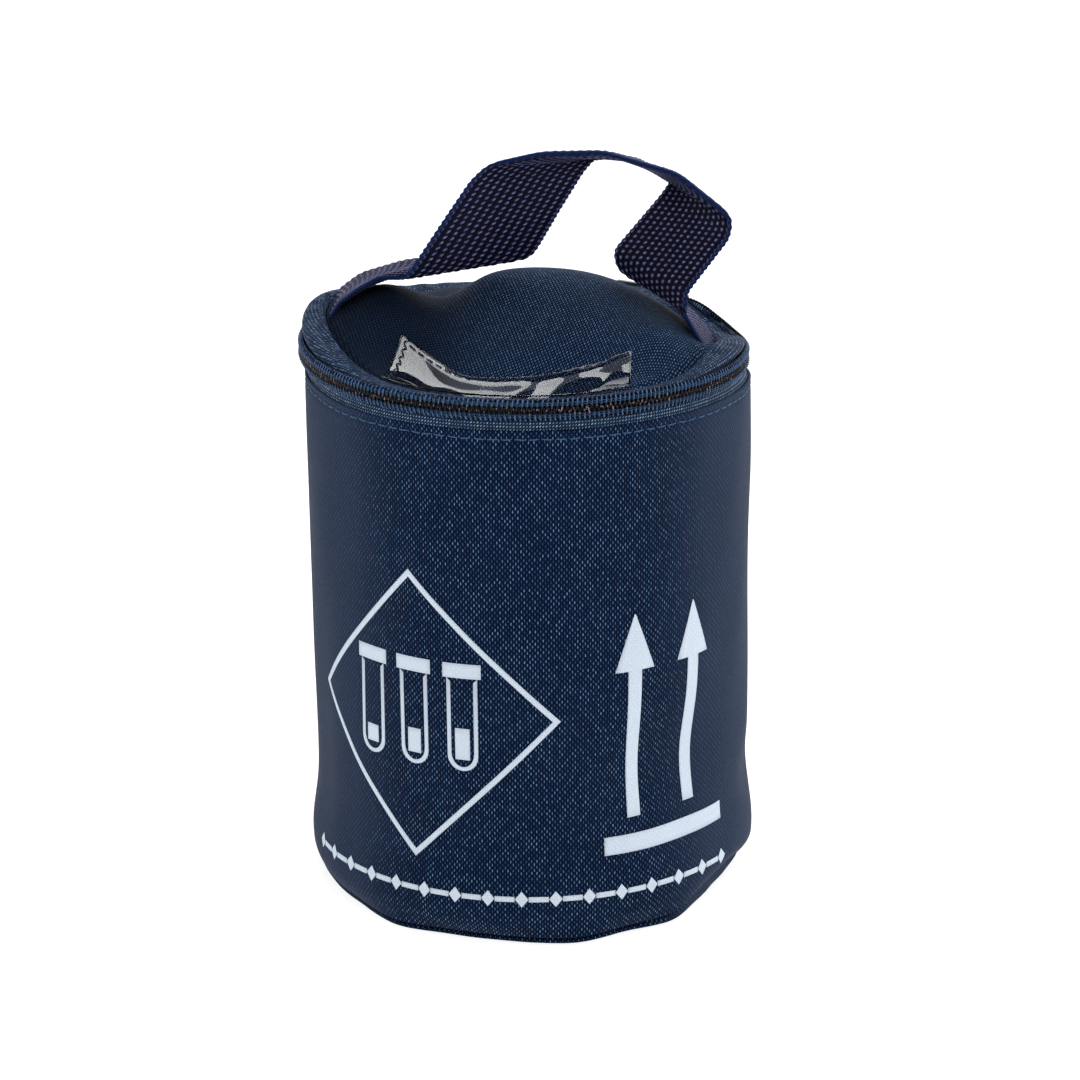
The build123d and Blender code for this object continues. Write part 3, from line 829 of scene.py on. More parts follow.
@made_once("materials", "Webbing")
def webbing_material(name):
    """Handle yarn: painted shade between the knots, painted violet highlights on their backs and blue along
    the selvedge.
    """
    s = settings("hardware")
    g, surface = new_material(name, {
        "Sheen Weight": 0.015, "Sheen Roughness": 0.4, "Specular IOR Level": 0.05,
    })
    axes = g.axes(g.cloth())
    strands = g.math("SINE", g.line(axes["X"], 2 * pi / (0.36 * MM), g.times(axes["Y"], 2600.0)))
    strands = g.line(strands, 0.5, 0.5)
    # painted highlights on the knot tips, brighter on some knots than on others, and painted shade between
    # the knots
    knots = g.math("POWER", g.ramp(g.stored("Relief"), 0.25, 0.95), 1.6)
    yarn = g.mix(g.times(knots, g.ramp(g.noise(g.cloth(), 2200.0), 0.2, 0.75)), paint(9, 9, 26), s.webbing)
    colour = g.worn(g.mix(g.stored("Selvedge"), yarn, s.selvedge), paint(120, 120, 170), 0.03)["Color"]
    return surface(colour, g.between(strands, 0.32, 0.5), strands, 0.06, 0.6)


# Pieces


def dress(piece, material, body=None, replaces=(), thick=0.0, offset=-1.0):
    """Gives a piece its material in its slot, its body and its thickness, and hides the nodes that it stands
    for.
    """
    piece.data.materials.clear()
    piece.data.materials.append(material)
    if body:
        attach(piece, body)
    if replaces:
        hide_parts(*replaces)
    if thick:
        solid = piece.modifiers.new("Thickness", "SOLIDIFY")
        solid.thickness = thick * MM
        solid.offset = offset


def full_turn(count):
    """Angles all the way round, starting at the back."""
    return np.linspace(-pi, pi, count, endpoint=False)


def zip_angles(count):
    """Angles of the zip, from one end of the cloth hinge round the front to the other."""
    return np.linspace(HINGE_HALF - pi, pi - HINGE_HALF, count)


def hinge_angles(count):
    """Angles of the cloth hinge, across the back."""
    return np.linspace(pi - HINGE_HALF, pi + HINGE_HALF, count)


def radial(angle):
    """Unit vectors that point away from the bag's axis."""
    return spread(angle, 1 / MM, 0)


def declare_sheet(piece, width, length, rests_on, with_pieces=()):
    """Turns what a sheet rests on and the pieces that go with it into lists, and keeps nothing; the piece and
    its cut size in millimetres are not used.
    """
    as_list(rests_on)
    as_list(with_pieces)


ROUND = 300
BASE_DOME = ((0.35, 0.4), (0.7, 0.3), (0.9, 0.12), (0.96, 0.0))
BASE_EDGE = ((-0.9, 0.05), (-0.25, 0.3), (0.0, 0.6))
BASE_SEAM_TURN = ((2.9, 0.1), (4.2, 0.3))
BOARD_SECTION = (
    (0.01, 1.0), (0.6, 1.0), (0.94, 1.0), (0.955, 1.25), (0.955, 1.9), (0.94, 2.1), (0.01, 2.1),
)


class BAG_OT_base(bpy.types.Operator):
    """Base cloth with its turned-in seam, and the stiff board inside"""

    bl_idname = "specimen_bag.base"
    bl_label = "Base"

    def execute(self, context):
        angles = full_turn(ROUND)
        outline, level, foot = base_outline(angles), seam_level(angles), seam_foot(angles)
        rows = [(0.6 + 0 * outline, 0.45)]
        rows += [(outline * share, rise) for share, rise in BASE_DOME]
        rows += [(outline + inset, rise) for inset, rise in BASE_EDGE]
        for share in (0.3, 0.6, 0.85, 0.97):
            rows.append((outline + (foot - 2.6 - outline) * share, 0.6 + (level - 0.7) * share))
        rows += [(foot - inset, level + rise) for inset, rise in BASE_SEAM_TURN]
        radius, height = (np.array([row + 0 * outline for row in column]) for column in zip(*rows))
        piece = ring_piece("base_cloth", angles, radius, height)
        piece.data.flip_normals()
        dress(piece, wall_cloth_material(), BAG, ("base_panel", "base_seam_binding"))
        declare_sheet(piece, 128, 128, "stiff_board")
        share, level = np.array(BOARD_SECTION).T[..., None]
        board = ring_piece("stiff_board", angles, outline * share, level)
        dress(board, board_material(), BAG, ("base_board",))
        return {"FINISHED"}


WALL_ROUND = 480
WALL_FOOT = ((-3.0, 0.5), (-1.2, 0.1), (-0.3, -0.15))
WALL_ROLL = ((-0.12, 0.22), (-0.42, 0.38), (-0.72, 0.2), (-0.85, -0.3), (-0.85, -7.0))


class BAG_OT_wall(bpy.types.Operator):
    """Outer wall cloth with its hem, belly and tucked foot"""

    bl_idname = "specimen_bag.wall"
    bl_label = "Wall cloth"

    def execute(self, context):
        angles = full_turn(WALL_ROUND)
        level, foot = seam_level(angles), seam_foot(angles)
        low = np.linspace(0, 1, 32) ** 1.6 * 0.17
        high = np.linspace(0.17, 0.965, 84)[1:]
        hem = np.linspace(0.965, 1, 16)[1:]
        marks = level + (HEM - level) * np.concatenate([low, high, hem])[:, None]
        radius, height = wall_radius(angles, marks), wall_height(angles, marks)
        below = [(foot + inset, level + rise) for inset, rise in WALL_FOOT]
        above = [(radius[-1] + inset, height[-1] + rise) for inset, rise in WALL_ROLL]
        rows = below + list(zip(radius, height)) + above
        radius, height = (np.array(column) for column in zip(*rows))
        piece = ring_piece("wall_cloth", angles, radius, height)
        dress(piece, wall_cloth_material(), BAG, ("body_wall",))
        declare_sheet(piece, 380, 158, "lower_zip_tape")
        return {"FINISHED"}


STITCH_DROP = 2.0
STITCH_HALF = 1.3
STITCH_BOW = 0.3


class BAG_OT_topstitch(bpy.types.Operator):
    """Row of stitches along the wall's hem"""

    bl_idname = "specimen_bag.topstitch"
    bl_label = "Hem stitches"

    def execute(self, context):
        s = settings("hardware")
        middles = full_turn(int(2 * pi * WALL_RADIUS * MM / s.stitch))
        level, half, slant = HEM - STITCH_DROP, STITCH_HALF / WALL_RADIUS, 0.12 * np.sin(middles * 41)
        starts, ends = (
            spread(middles + side * half, wall_radius(middles + side * half, level),
                   wall_height(middles, level) + side * slant)
            for side in (-1, 1)
        )
        piece = stitch_piece("hem_stitches", starts, ends, radial(middles), s.thread * 1.1, STITCH_BOW * MM)
        dress(piece, blue_thread_material(), BAG, ("wall_topstitch",))
        return {"FINISHED"}


DIAMOND = ((-32.6, 102.0), (7.2, 63.5), (-31.8, 23.7), (-69.6, 62.0))
DIAMOND_LINE = 1.5
ARROW_RUNS = (28.7, 47.8)
ARROW_TOP = 90.8
ARROW_LOW = 34.0
ARROW_HEAD = 15.5
ARROW_HEAD_HALF = 5.8
ARROW_SHAFT_HALF = 2.0
BAR = (19.8, 60.9, 24.5, 29.5)
STRIPE = (-73.0, 59.5, 14.0)
TUBE_LOW = 49.0
TUBE_HEIGHT = 26.0
TUBE_HALF = 4.2
TUBE_LINE = 1.1
TUBE_PITCH = 14.0


INK_RISE = 0.1
INK_THICKNESS = 0.06
STRIPE_MARKS = 31
STRIPE_DASH = (2.6, 0.75)
STRIPE_LOZENGE = (1.75, 2.2)


class Print:
    """Collects flat printed marks and lays them on the wall as one mesh."""

    def __init__(self):
        self.points, self.faces, self.uv = [], [], []

    def patch(self, runs, heights, closed=False):
        """Grid of runs round the wall and heights, in millimetres."""
        faces = grid_faces(*runs.shape, closed)[0]
        flat = np.stack([runs, heights], -1).reshape(-1, 2) * MM
        self.faces.append(faces + sum(len(part) for part in self.points))
        self.points.append(on_wall(runs, heights, INK_RISE).reshape(-1, 3))
        self.uv.append(flat[faces])

    def block(self, left, right, low, high, columns, rows):
        """Upright rectangle."""
        self.patch(*np.meshgrid(np.linspace(left, right, columns), np.linspace(low, high, rows)))

    def ring(self, corners, line, steps=24):
        """Closed outline of straight sides, centred on the given corners."""
        corners = np.array(corners)
        middle = corners.mean(axis=0)
        share = np.linspace(0, 1, steps, endpoint=False)[:, None]
        outline = np.concatenate([a + (b - a) * share for a, b in zip(corners, np.roll(corners, -1, 0))])
        reach = abs(np.cross(unit(corners[1] - corners[0]), middle - corners[0]))
        rows = np.array([middle + (outline - middle) * (1 + part * line / 2 / reach) for part in (1, 0, -1)])
        self.patch(rows[..., 0], rows[..., 1], closed=True)

    def upright(self, run, levels):
        """Mark that is the same left and right of a run, from heights and half widths."""
        levels = np.array(levels)
        runs = run + levels[:, 1:] * np.linspace(-1, 1, 7)
        self.patch(runs, levels[:, :1] + 0 * runs)

    def finish(self, name):
        points, faces, uv = (np.concatenate(part) for part in (self.points, self.faces, self.uv))
        return make_object(name, points, faces.tolist(), uv)


def arrow_levels():
    """Heights and half widths of an upright arrow."""
    neck = ARROW_TOP - ARROW_HEAD
    shaft = [(height, ARROW_SHAFT_HALF) for height in np.linspace(ARROW_LOW, neck, 16)]
    head = [(neck + ARROW_HEAD * t, ARROW_HEAD_HALF * (1 - t) + 0.15 * t) for t in np.linspace(0.001, 1, 10)]
    return shaft + head


def tube_outline(run, low):
    """Outline of a sample tube with a round foot, as a closed path."""
    foot = [
        (run + TUBE_HALF * cos(a), low + TUBE_HALF + TUBE_HALF * sin(a))
        for a in np.linspace(0, -pi, 13)
    ]
    return [(run + TUBE_HALF, low + TUBE_HEIGHT)] + foot + [(run - TUBE_HALF, low + TUBE_HEIGHT)]


class BAG_OT_print(bpy.types.Operator):
    """Plain printed marks: a diamond with sample tubes, two arrows over a bar and a stripe"""

    bl_idname = "specimen_bag.print"
    bl_label = "Printed marks"

    def execute(self, context):
        marks = Print()
        marks.ring(DIAMOND, DIAMOND_LINE)
        middle = sum(run for run, _ in DIAMOND) / len(DIAMOND)
        for number in (-1, 0, 1):
            run = middle + number * TUBE_PITCH
            outer = np.array(tube_outline(run, TUBE_LOW))
            centre = np.array([run, TUBE_LOW + TUBE_HEIGHT / 2])
            inner = centre + (outer - centre) * (1 - TUBE_LINE / TUBE_HALF * np.array([1.0, 0.32]))
            rows = np.array([outer, inner])
            marks.patch(rows[..., 0], rows[..., 1])
            top = TUBE_LOW + TUBE_HEIGHT
            marks.upright(run, [(level, TUBE_HALF + 1.0) for level in np.linspace(top, top + 4, 4)])
            fill = np.linspace(TUBE_LOW + 3.2, TUBE_LOW + 10 + 2 * number, 5)
            marks.upright(run, [(level, TUBE_HALF - 2.2) for level in fill])
        for run in ARROW_RUNS:
            marks.upright(run, arrow_levels())
        marks.block(*BAR, 40, 4)
        start, end, level = STRIPE
        for number, run in enumerate(np.linspace(start, end, STRIPE_MARKS)):
            if number % 2:
                half, rise = STRIPE_DASH
                marks.block(run - half, run + half, level - rise, level + rise, 5, 2)
            else:
                half, rise = STRIPE_LOZENGE
                shares = np.linspace(-1, 1, 7)
                marks.upright(run, [(level + rise * t, half * (1 - abs(t)) + 0.02) for t in shares])
        piece = marks.finish("printed_marks")
        dress(piece, print_material(), BAG, thick=INK_THICKNESS, offset=1.0)
        return {"FINISHED"}


TAPE_RADIUS = 59.12
TAPE_THICKNESS = 0.55
COIL_STEPS = 14
COIL_SIDES = 8
COIL_IN = 1.37
COIL_SWING = 0.6
COIL_LEAN = 0.12
COIL_MIDDLE = 1.2
COIL_HALF = 1.55
SEWING_WIDTH = 0.22
SEWING_ROWS = (1.25, 1.8)
STOP_WIDTH = 1.2
ZIP_HALVES = (("lower", -1, BAG, LOWER_COIL), ("upper", 1, LID, UPPER_COIL))


def coil_turns(reach):
    """Number of turns of a zip coil."""
    return int(2 * reach * COIL_OUT * MM / settings("hardware").tooth)


def coil_path(side, reach):
    """Flattened helix of one zip coil, and how near each point is to the heads of its turns."""
    turns = coil_turns(reach)
    turn = np.arange(turns * COIL_STEPS + 1) / COIL_STEPS
    sine, cosine = np.sin(2 * pi * turn), np.cos(2 * pi * turn)
    start = 0.5 if side > 0 else 0.0
    angle = (turn + start) * (2 * reach / (turns + 0.5)) - reach + COIL_LEAN * sine / COIL_OUT
    radius = COIL_OUT - COIL_IN + COIL_SWING * sine + 0.15 * cosine + chain_draw(angle)
    height = CHAIN + side * (COIL_MIDDLE - COIL_HALF * cosine) + chain_lift(angle)
    return spread(angle, radius, height), radial(angle), (1 + cosine) / 2


class BAG_OT_zip(bpy.types.Operator):
    """Zip: lower tape, two coils, their sewing threads and the end stops"""

    bl_idname = "specimen_bag.zip"
    bl_label = "Zip"

    def execute(self, context):
        angles = zip_angles(360)
        heights = np.concatenate([[TAPE_LOW], np.linspace(HEM - 3, LOWER_COIL[1], 10)])[:, None]
        radius = TAPE_RADIUS + chain_draw(angles) * smooth_step(heights, HEM - 0.5, HEM + 4)
        tape = ring_piece("lower_tape", angles, radius, heights + chain_lift(angles), closed=False)
        dress(tape, tape_material(), BAG, ("lower_zip_tape",), TAPE_THICKNESS)
        declare_sheet(tape, 312, 17, "wall_cloth")
        reach = pi - HINGE_HALF - END_STOP / WALL_RADIUS
        for half, side, body, levels in ZIP_HALVES:
            path, outward, heads = coil_path(side, reach)
            piece = tube_piece(half + "_coil", [path], settings("hardware").wire, [outward], COIL_SIDES)
            point_values(piece, "Head", np.repeat(heads, COIL_SIDES))
            dress(piece, coil_material(), body, (half + "_zip_coil",))
            self.sewing(half + "_coil_thread", side, body, reach)
        for half, side, body, levels in ZIP_HALVES:
            self.stops(half, body, *levels)
        return {"FINISHED"}

    def sewing(self, name, side, body, reach):
        """Two threads that hold a coil to its tape and rise over each turn of it."""
        count = coil_turns(reach)
        angle = np.linspace(-reach, reach, count * 8)
        phase = (angle + reach) / (2 * reach) * (count + 0.5) * 2 * pi - (pi if side > 0 else 0)
        radius = COIL_OUT - 0.86 + 0.50 * np.sin(phase) + chain_draw(angle)
        paths = [
            spread(angle, radius, CHAIN + side * place + 0.07 * np.sin(phase * 0.5) + chain_lift(angle))
            for place in SEWING_ROWS
        ]
        piece = tube_piece(name, paths, SEWING_WIDTH * MM, [radial(angle)] * 2)
        dress(piece, blue_thread_material(), body)

    def stops(self, half, body, low, high):
        """Crimped stops at both ends of a coil."""
        height = np.array([low + 0.1, low + 0.4, low + 1.2, high - 1.2, high - 0.4, high - 0.1])
        radius = np.array([60.0, 60.6, 60.8, 60.8, 60.6, 60.0])
        angle = pi - HINGE_HALF - END_STOP / 2 / WALL_RADIUS
        paths = [spread(end, radius, height + chain_lift(end)) for end in (-angle, angle)]
        piece = tube_piece(half + "_stops", paths, STOP_WIDTH * MM, [radial(-angle), radial(angle)], 12)
        dress(piece, metal_material(), body, (half + "_end_stops",))


BAND_THICKNESS = 0.6
HINGE_BEND = (-3.5, 1.6)
HINGE_PROFILE = (
    (59.0, TAPE_LOW), (59.0, 138.0), (59.05, 143.0), (59.2, 146.6), (59.2, 149.6), (59.1, 151.2),
)


class BAG_OT_band(bpy.types.Operator):
    """Puffy band from the zip over to the lid seam, and the cloth hinge at the back"""

    bl_idname = "specimen_bag.band"
    bl_label = "Band and hinge"

    def execute(self, context):
        for name, profile, angles, rows, replaces, flat in (
            ("lid_band", BAND_PROFILE, zip_angles(520), 34, ("upper_zip_tape",), (305, 18)),
            ("lid_band_back", BAND_PROFILE[1:], hinge_angles(120), 32, (), (66, 16)),
        ):
            band = ring_piece(name, angles, *band_rows(profile, angles, rows), closed=False)
            dress(band, band_cloth_material(), LID, replaces, BAND_THICKNESS)
            declare_sheet(band, *flat, "lid_cloth")
        radius, height = band_rows(HINGE_PROFILE, angles, 40)
        hinge = ring_piece("hinge_cloth", angles, radius - 0.15, height, closed=False)
        replaces = ("hinge_cloth_lower", "hinge_cloth_upper")
        dress(hinge, band_cloth_material(), None, replaces, BAND_THICKNESS)
        declare_sheet(hinge, 66, 21, "wall_cloth")
        start, end = ((0, WALL_RADIUS * MM, (HINGE_HEIGHT + bend) * MM) for bend in HINGE_BEND)
        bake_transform(hinge)
        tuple(start)
        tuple(end)
        return {"FINISHED"}


def round_sheet(name, x, y, z):
    """Round sheet from rows of points, closed in its middle, with its UV map lying on the plan."""
    points = np.stack([x, y, z], -1).reshape(-1, 3) * MM
    quads, _, _ = grid_faces(*x.shape, True)
    faces = quads.tolist() + [list(range(x.shape[1]))[::-1]]
    uv = points[[corner for face in faces for corner in face], :2]
    return make_object(name, points, faces, uv)


LID_REACH = np.concatenate([np.linspace(0.02, 0.955, 62), np.linspace(0.96, 0.985, 8), [0.993, 0.998]])
LID_THICKNESS = 3.4
BINDING_SECTION = (
    (50.4, 146.6), (49.9, 145.5), (49.8, 143.0), (50.1, 141.2), (50.9, 140.6), (51.8, 141.2), (52.1, 143.0),
    (51.9, 145.6), (51.5, 146.8),
)


class BAG_OT_lid(bpy.types.Operator):
    """Lid cloth with its hollow front and crown, its lining and its seam binding"""

    bl_idname = "specimen_bag.lid"
    bl_label = "Lid"

    def execute(self, context):
        height_at = lid_surface()
        angles, reach = full_turn(ROUND), LID_REACH[:, None]
        x = seam_radius(angles) * reach * np.sin(angles)
        y = -seam_radius(angles) * reach * np.cos(angles)
        z = height_at(x, y)
        tucked = 0.9 * smooth_step(reach, 0.962, 1.0)
        pucker = 0.18 * np.sin(angles * 87 + np.sin(angles * 5)) * smooth_step(reach, 0.9, 0.985)
        cloth = round_sheet("lid_cloth", x, y, z - tucked + pucker)
        cloth.data.flip_normals()
        dress(cloth, lid_cloth_material(), LID, ("lid_panel", "lid_foam"))
        declare_sheet(cloth, 106, 106, "lid_lining_film")
        under = z - LID_THICKNESS + 1.6 * smooth_step(reach, 0.9, 1.0)
        film = round_sheet("lid_lining_film", x * 0.985, y * 0.985, under)
        dress(film, lining_material(), LID, ("lid_lining",))
        declare_sheet(film, 106, 106, "lid_cloth")
        self.binding()
        return {"FINISHED"}

    def binding(self):
        """Folded binding over the seam's raw edges, inside the lid."""
        angles = full_turn(260)
        section = through(BINDING_SECTION, 20)
        wave = 0.25 * np.sin(angles * 23)
        radius = section[:, :1] + wave * 0.4 + seam_radius(angles) - SEAM_RADIUS
        piece = ring_piece("lid_binding", angles, radius, section[:, 1:] + seam_lift(angles) + wave)
        dress(piece, binding_material(), LID, ("lid_seam_binding",))


POCKET_BACK = (
    (-32.9, -15.5, 155.9), (-26.2, -20.0, 151.6), (-21.1, -24.0, 149.2), (-16.4, -26.5, 147.8),
    (-10.7, -28.0, 147.5), (-2.9, -28.5, 147.6), (6.8, -28.5, 148.6), (13.5, -28.5, 150.1),
    (19.5, -28.5, 151.5), (23.2, -28.5, 153.0), (27.3, -28.5, 154.4),
)
POCKET_FRONT_LEFT = -49.0
POCKET_FRONT_RIGHT = 32.1
POCKET_SAG = 10.098
POCKET_WEAVE = (0.062, 0.028)
POCKET_THICKNESS = 0.3
POCKET_ROW = 0.085


def pocket_point(across, ahead, height_at):
    """Point of the clear sheet; across runs left to right and ahead from the back edge to the seam."""
    back_curve = through(POCKET_BACK, 81)
    share = np.linspace(0, 1, 81)
    back = np.stack([np.interp(across, share, column) for column in back_curve.T], -1)
    angle = np.radians(POCKET_FRONT_LEFT + (POCKET_FRONT_RIGHT - POCKET_FRONT_LEFT) * across)
    front = spread(angle, seam_radius(angle) - 0.3, SEAM - 0.6) / MM
    point = back + (front - back) * ahead[..., None]
    bulge = 0.35 * np.exp(-(((ahead - 0.13) / 0.1) ** 2)) * smooth_step(ahead, 0.0, 0.04)
    sag = POCKET_SAG * ahead * (1 - ahead**4) * (1 - 0.6 * smooth_step(across, 0.55, 0.85))
    arcs = np.exp(-(((across - 0.57) / 0.13) ** 2)) * np.sin(ahead * pi)
    ripple = 0.42 * np.sin(across * 27 + ahead * 9 + 1) * arcs
    floor = height_at(point[..., 0], point[..., 1]) + 0.4
    point[..., 2] = np.maximum(point[..., 2] + bulge - sag + ripple, floor)
    return point


class BAG_OT_pocket(bpy.types.Operator):
    """Clear pocket on the lid with its stitches"""

    bl_idname = "specimen_bag.pocket"
    bl_label = "Clear pocket"

    def execute(self, context):
        height_at = lid_surface()
        across, ahead = np.meshgrid(np.linspace(0, 1, 96), np.linspace(0, 1, 44))
        points = pocket_point(across, ahead, height_at) * MM
        width, length = POCKET_WEAVE
        piece = grid_piece("clear_pocket", points[::-1], across * width, ahead[::-1] * length)
        dress(piece, clear_material(), LID, ("label_window",), POCKET_THICKNESS, 1.0)
        self.stitches(height_at)
        declare_sheet(piece, 68, 30, "lid_cloth", with_pieces=[bpy.data.objects["pocket_stitches"]])
        return {"FINISHED"}

    def stitches(self, height_at):
        """Zigzag down the left edge and a straight row along the back edge."""
        levels = np.linspace(0.03, 0.96, 15)
        zigzag = [(0.024 if number % 2 else 0.044, level) for number, level in enumerate(levels)]
        row = np.linspace(0.045, 0.985, 21)
        starts = zigzag[:-1] + [(spot + 0.008, POCKET_ROW) for spot in row[:-1]]
        ends = zigzag[1:] + [(spot - 0.008, POCKET_ROW) for spot in row[1:]]
        starts, ends = (
            (pocket_point(*np.array(spots).T, height_at) + (0, 0, 0.42)) * MM for spots in (starts, ends)
        )
        outward = np.repeat([[0, -0.25, 0.97]], len(starts), 0)
        piece = stitch_piece("pocket_stitches", starts, ends, outward, settings("hardware").thread, 0.25 * MM)
        dress(piece, dark_thread_material(), LID, ("window_stitches",))


# Strip of webbing: middle point, way from the near selvedge to the far one, and slant
STRAP = (
    (-52.3, 8.4, 155.6, (0.05, 0.99, 0.00), 1.00),
    (-51.9, 8.3, 157.4, (0.05, 0.99, 0.08), 1.00),
    (-47.4, 6.8, 162.4, (0.22, 0.96, 0.10), 1.00),
    (-38.7, 3.0, 167.0, (0.48, 0.86, 0.09), 1.08),
    (-27.0, 0.0, 170.2, (0.80, 0.58, 0.06), 1.25),
    (-16.4, -1.5, 170.0, (0.94, 0.30, 0.07), 1.46),
    (-14.2, -1.5, 171.8, (0.94, 0.28, 0.10), 1.43),
    (-6.6, -1.5, 184.0, (0.97, 0.22, 0.06), 1.30),
    (0.4, -1.5, 194.8, (0.98, 0.20, 0.03), 1.23),
    (4.2, -1.2, 198.6, (0.97, 0.26, 0.00), 1.20),
    (14.0, 0.0, 200.0, (0.80, 0.58, -0.16), 1.08),
    (25.5, 2.0, 199.0, (0.46, 0.87, -0.30), 1.00),
    (38.5, 1.5, 193.8, (-0.10, 0.98, -0.27), 1.00),
    (46.4, 0.5, 187.8, (-0.62, 0.72, 0.24), 1.00),
    (44.8, 0.0, 183.4, (-0.70, 0.62, 0.34), 1.00),
    (32.8, -1.0, 168.5, (-0.78, 0.53, 0.34), 1.00),
    (33.3, -1.2, 163.8, (-0.72, 0.64, 0.26), 1.00),
    (39.0, -2.0, 160.6, (-0.22, 0.96, 0.06), 1.00),
    (44.5, -2.5, 155.0, (0.05, 0.98, -0.08), 1.00),
    (48.9, -3.0, 148.4, (0.15, 0.97, -0.17), 1.00),
    (49.2, -3.0, 146.0, (0.15, 0.97, -0.17), 1.00),
)
STRAP_WIDTH = 25.0
STRAP_THICKNESS = 1.8
STRAP_BEND = 1.6
STRAP_FINE = 0.25
STRAP_STEP = 0.30
STRAP_BLEND = (158.0, 172.0)
KNOT_COLUMNS = 14
KNOT_PITCH = 1.62
KNOT_RISE = 0.42
KNOT_FACES = 5


def strap_run(step):
    """Middle points and cross vectors of the strap, evenly spaced, with its bends made round."""
    stations = np.array([(x, y, z, *(unit(np.array(way)) * slant)) for x, y, z, way, slant in STRAP])
    line = resample(stations, lambda length: np.arange(0, length, STRAP_FINE))
    window = int(STRAP_BEND / STRAP_FINE) * 2
    kernel = np.hanning(2 * window + 3)[1:-1]
    ends = np.vstack([
        line[0] + (line[0] - line[1]) * np.arange(window, 0, -1)[:, None],
        line,
        line[-1] + (line[-1] - line[-2]) * np.arange(1, window + 1)[:, None],
    ])
    line = np.stack([np.convolve(column, kernel / kernel.sum(), "valid") for column in ends.T], -1)
    line = resample(line, lambda length: np.arange(0, length, step))
    return line[:, :3], line[:, 3:], np.arange(len(line)) * step


def knots(run, across, face):
    """Height of the slanted oval knots of the webbing, from 0 to 1."""
    column = np.floor(across)
    off = across - column - 0.5
    place = run / KNOT_PITCH + 0.5 * (column % 2) + off * 0.34 * face
    along = place - np.floor(place) - 0.5
    return np.exp(-((off / 0.30) ** 2) - (along / 0.40) ** 2)


class BAG_OT_handle(bpy.types.Operator):
    """Twisted webbing handle, sewn into the lid seam at both ends"""

    bl_idname = "specimen_bag.handle"
    bl_label = "Handle"

    def execute(self, context):
        middle, side, run = strap_run(STRAP_STEP)
        normal = unit(np.cross(directions(middle), side))
        place = np.linspace(-1, 1, KNOT_COLUMNS * KNOT_FACES + 1)
        edge = np.sqrt(np.clip(1 - np.abs(place) ** 14, 0, 1))
        across = np.concatenate([place, place[::-1][1:-1]])
        thick = np.concatenate([edge, -edge[::-1][1:-1]])
        face = np.sign(thick + 1e-6)
        columns = np.clip((across + 1) / 2 * KNOT_COLUMNS, 0.0, KNOT_COLUMNS - 1e-6)
        rim = smooth_step(np.abs(across), 0.90, 0.965)
        serration = 0.5 + 0.5 * np.cos(run[:, None] / KNOT_PITCH * 2 * pi)
        relief = knots(run[:, None], columns, face) * (1 - rim) + rim * serration
        half = STRAP_WIDTH / 2 + 0.30 * (serration - 0.5) * rim
        knot_lift = KNOT_RISE * (relief - 0.3) * np.sign(thick) * (1 - 0.7 * rim)
        lift = ((STRAP_THICKNESS / 2 - 0.25) * thick + knot_lift)[..., None]
        points = middle[:, None] + side[:, None] * (across * half)[..., None] + normal[:, None] * lift
        u = np.append(across, across[0]) * STRAP_WIDTH / 2 * MM
        u, v = np.meshgrid(u, run * MM)
        piece = grid_piece("handle_strap", points * MM, u, v, closed=True)
        close_ends(piece)
        point_values(piece, "Relief", relief)
        point_values(piece, "Selvedge", np.broadcast_to(rim, relief.shape))
        replaces = ("handle_root_left", "handle_loop", "handle_root_right")
        dress(piece, webbing_material(), None, replaces)
        start, end = ((0, 0, level * MM) for level in STRAP_BLEND)
        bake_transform(piece)
        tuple(start)
        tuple(end)
        return {"FINISHED"}


LINING_SECTION = (
    (55.9, BASE_TOP - 1.5), (55.95, 20.0), (55.9, 60.0), (55.95, 100.0), (55.9, 134.0), (55.8, 138.6),
    (56.1, 141.0), (56.9, 142.0), (57.8, 141.6), (58.2, 139.6), (58.3, 134.0),
)
PAD_SECTION = (
    (0.4, 5.9), (20.0, 5.85), (40.0, 5.7), (52.0, 5.4), (55.0, 4.8), (55.6, 3.6), (54.6, 2.5),
    (40.0, 2.2), (0.4, 2.2),
)
PAD_RADIUS = 55.6
COVER_HALF = 6.0
COVER_THICKNESS = 0.4


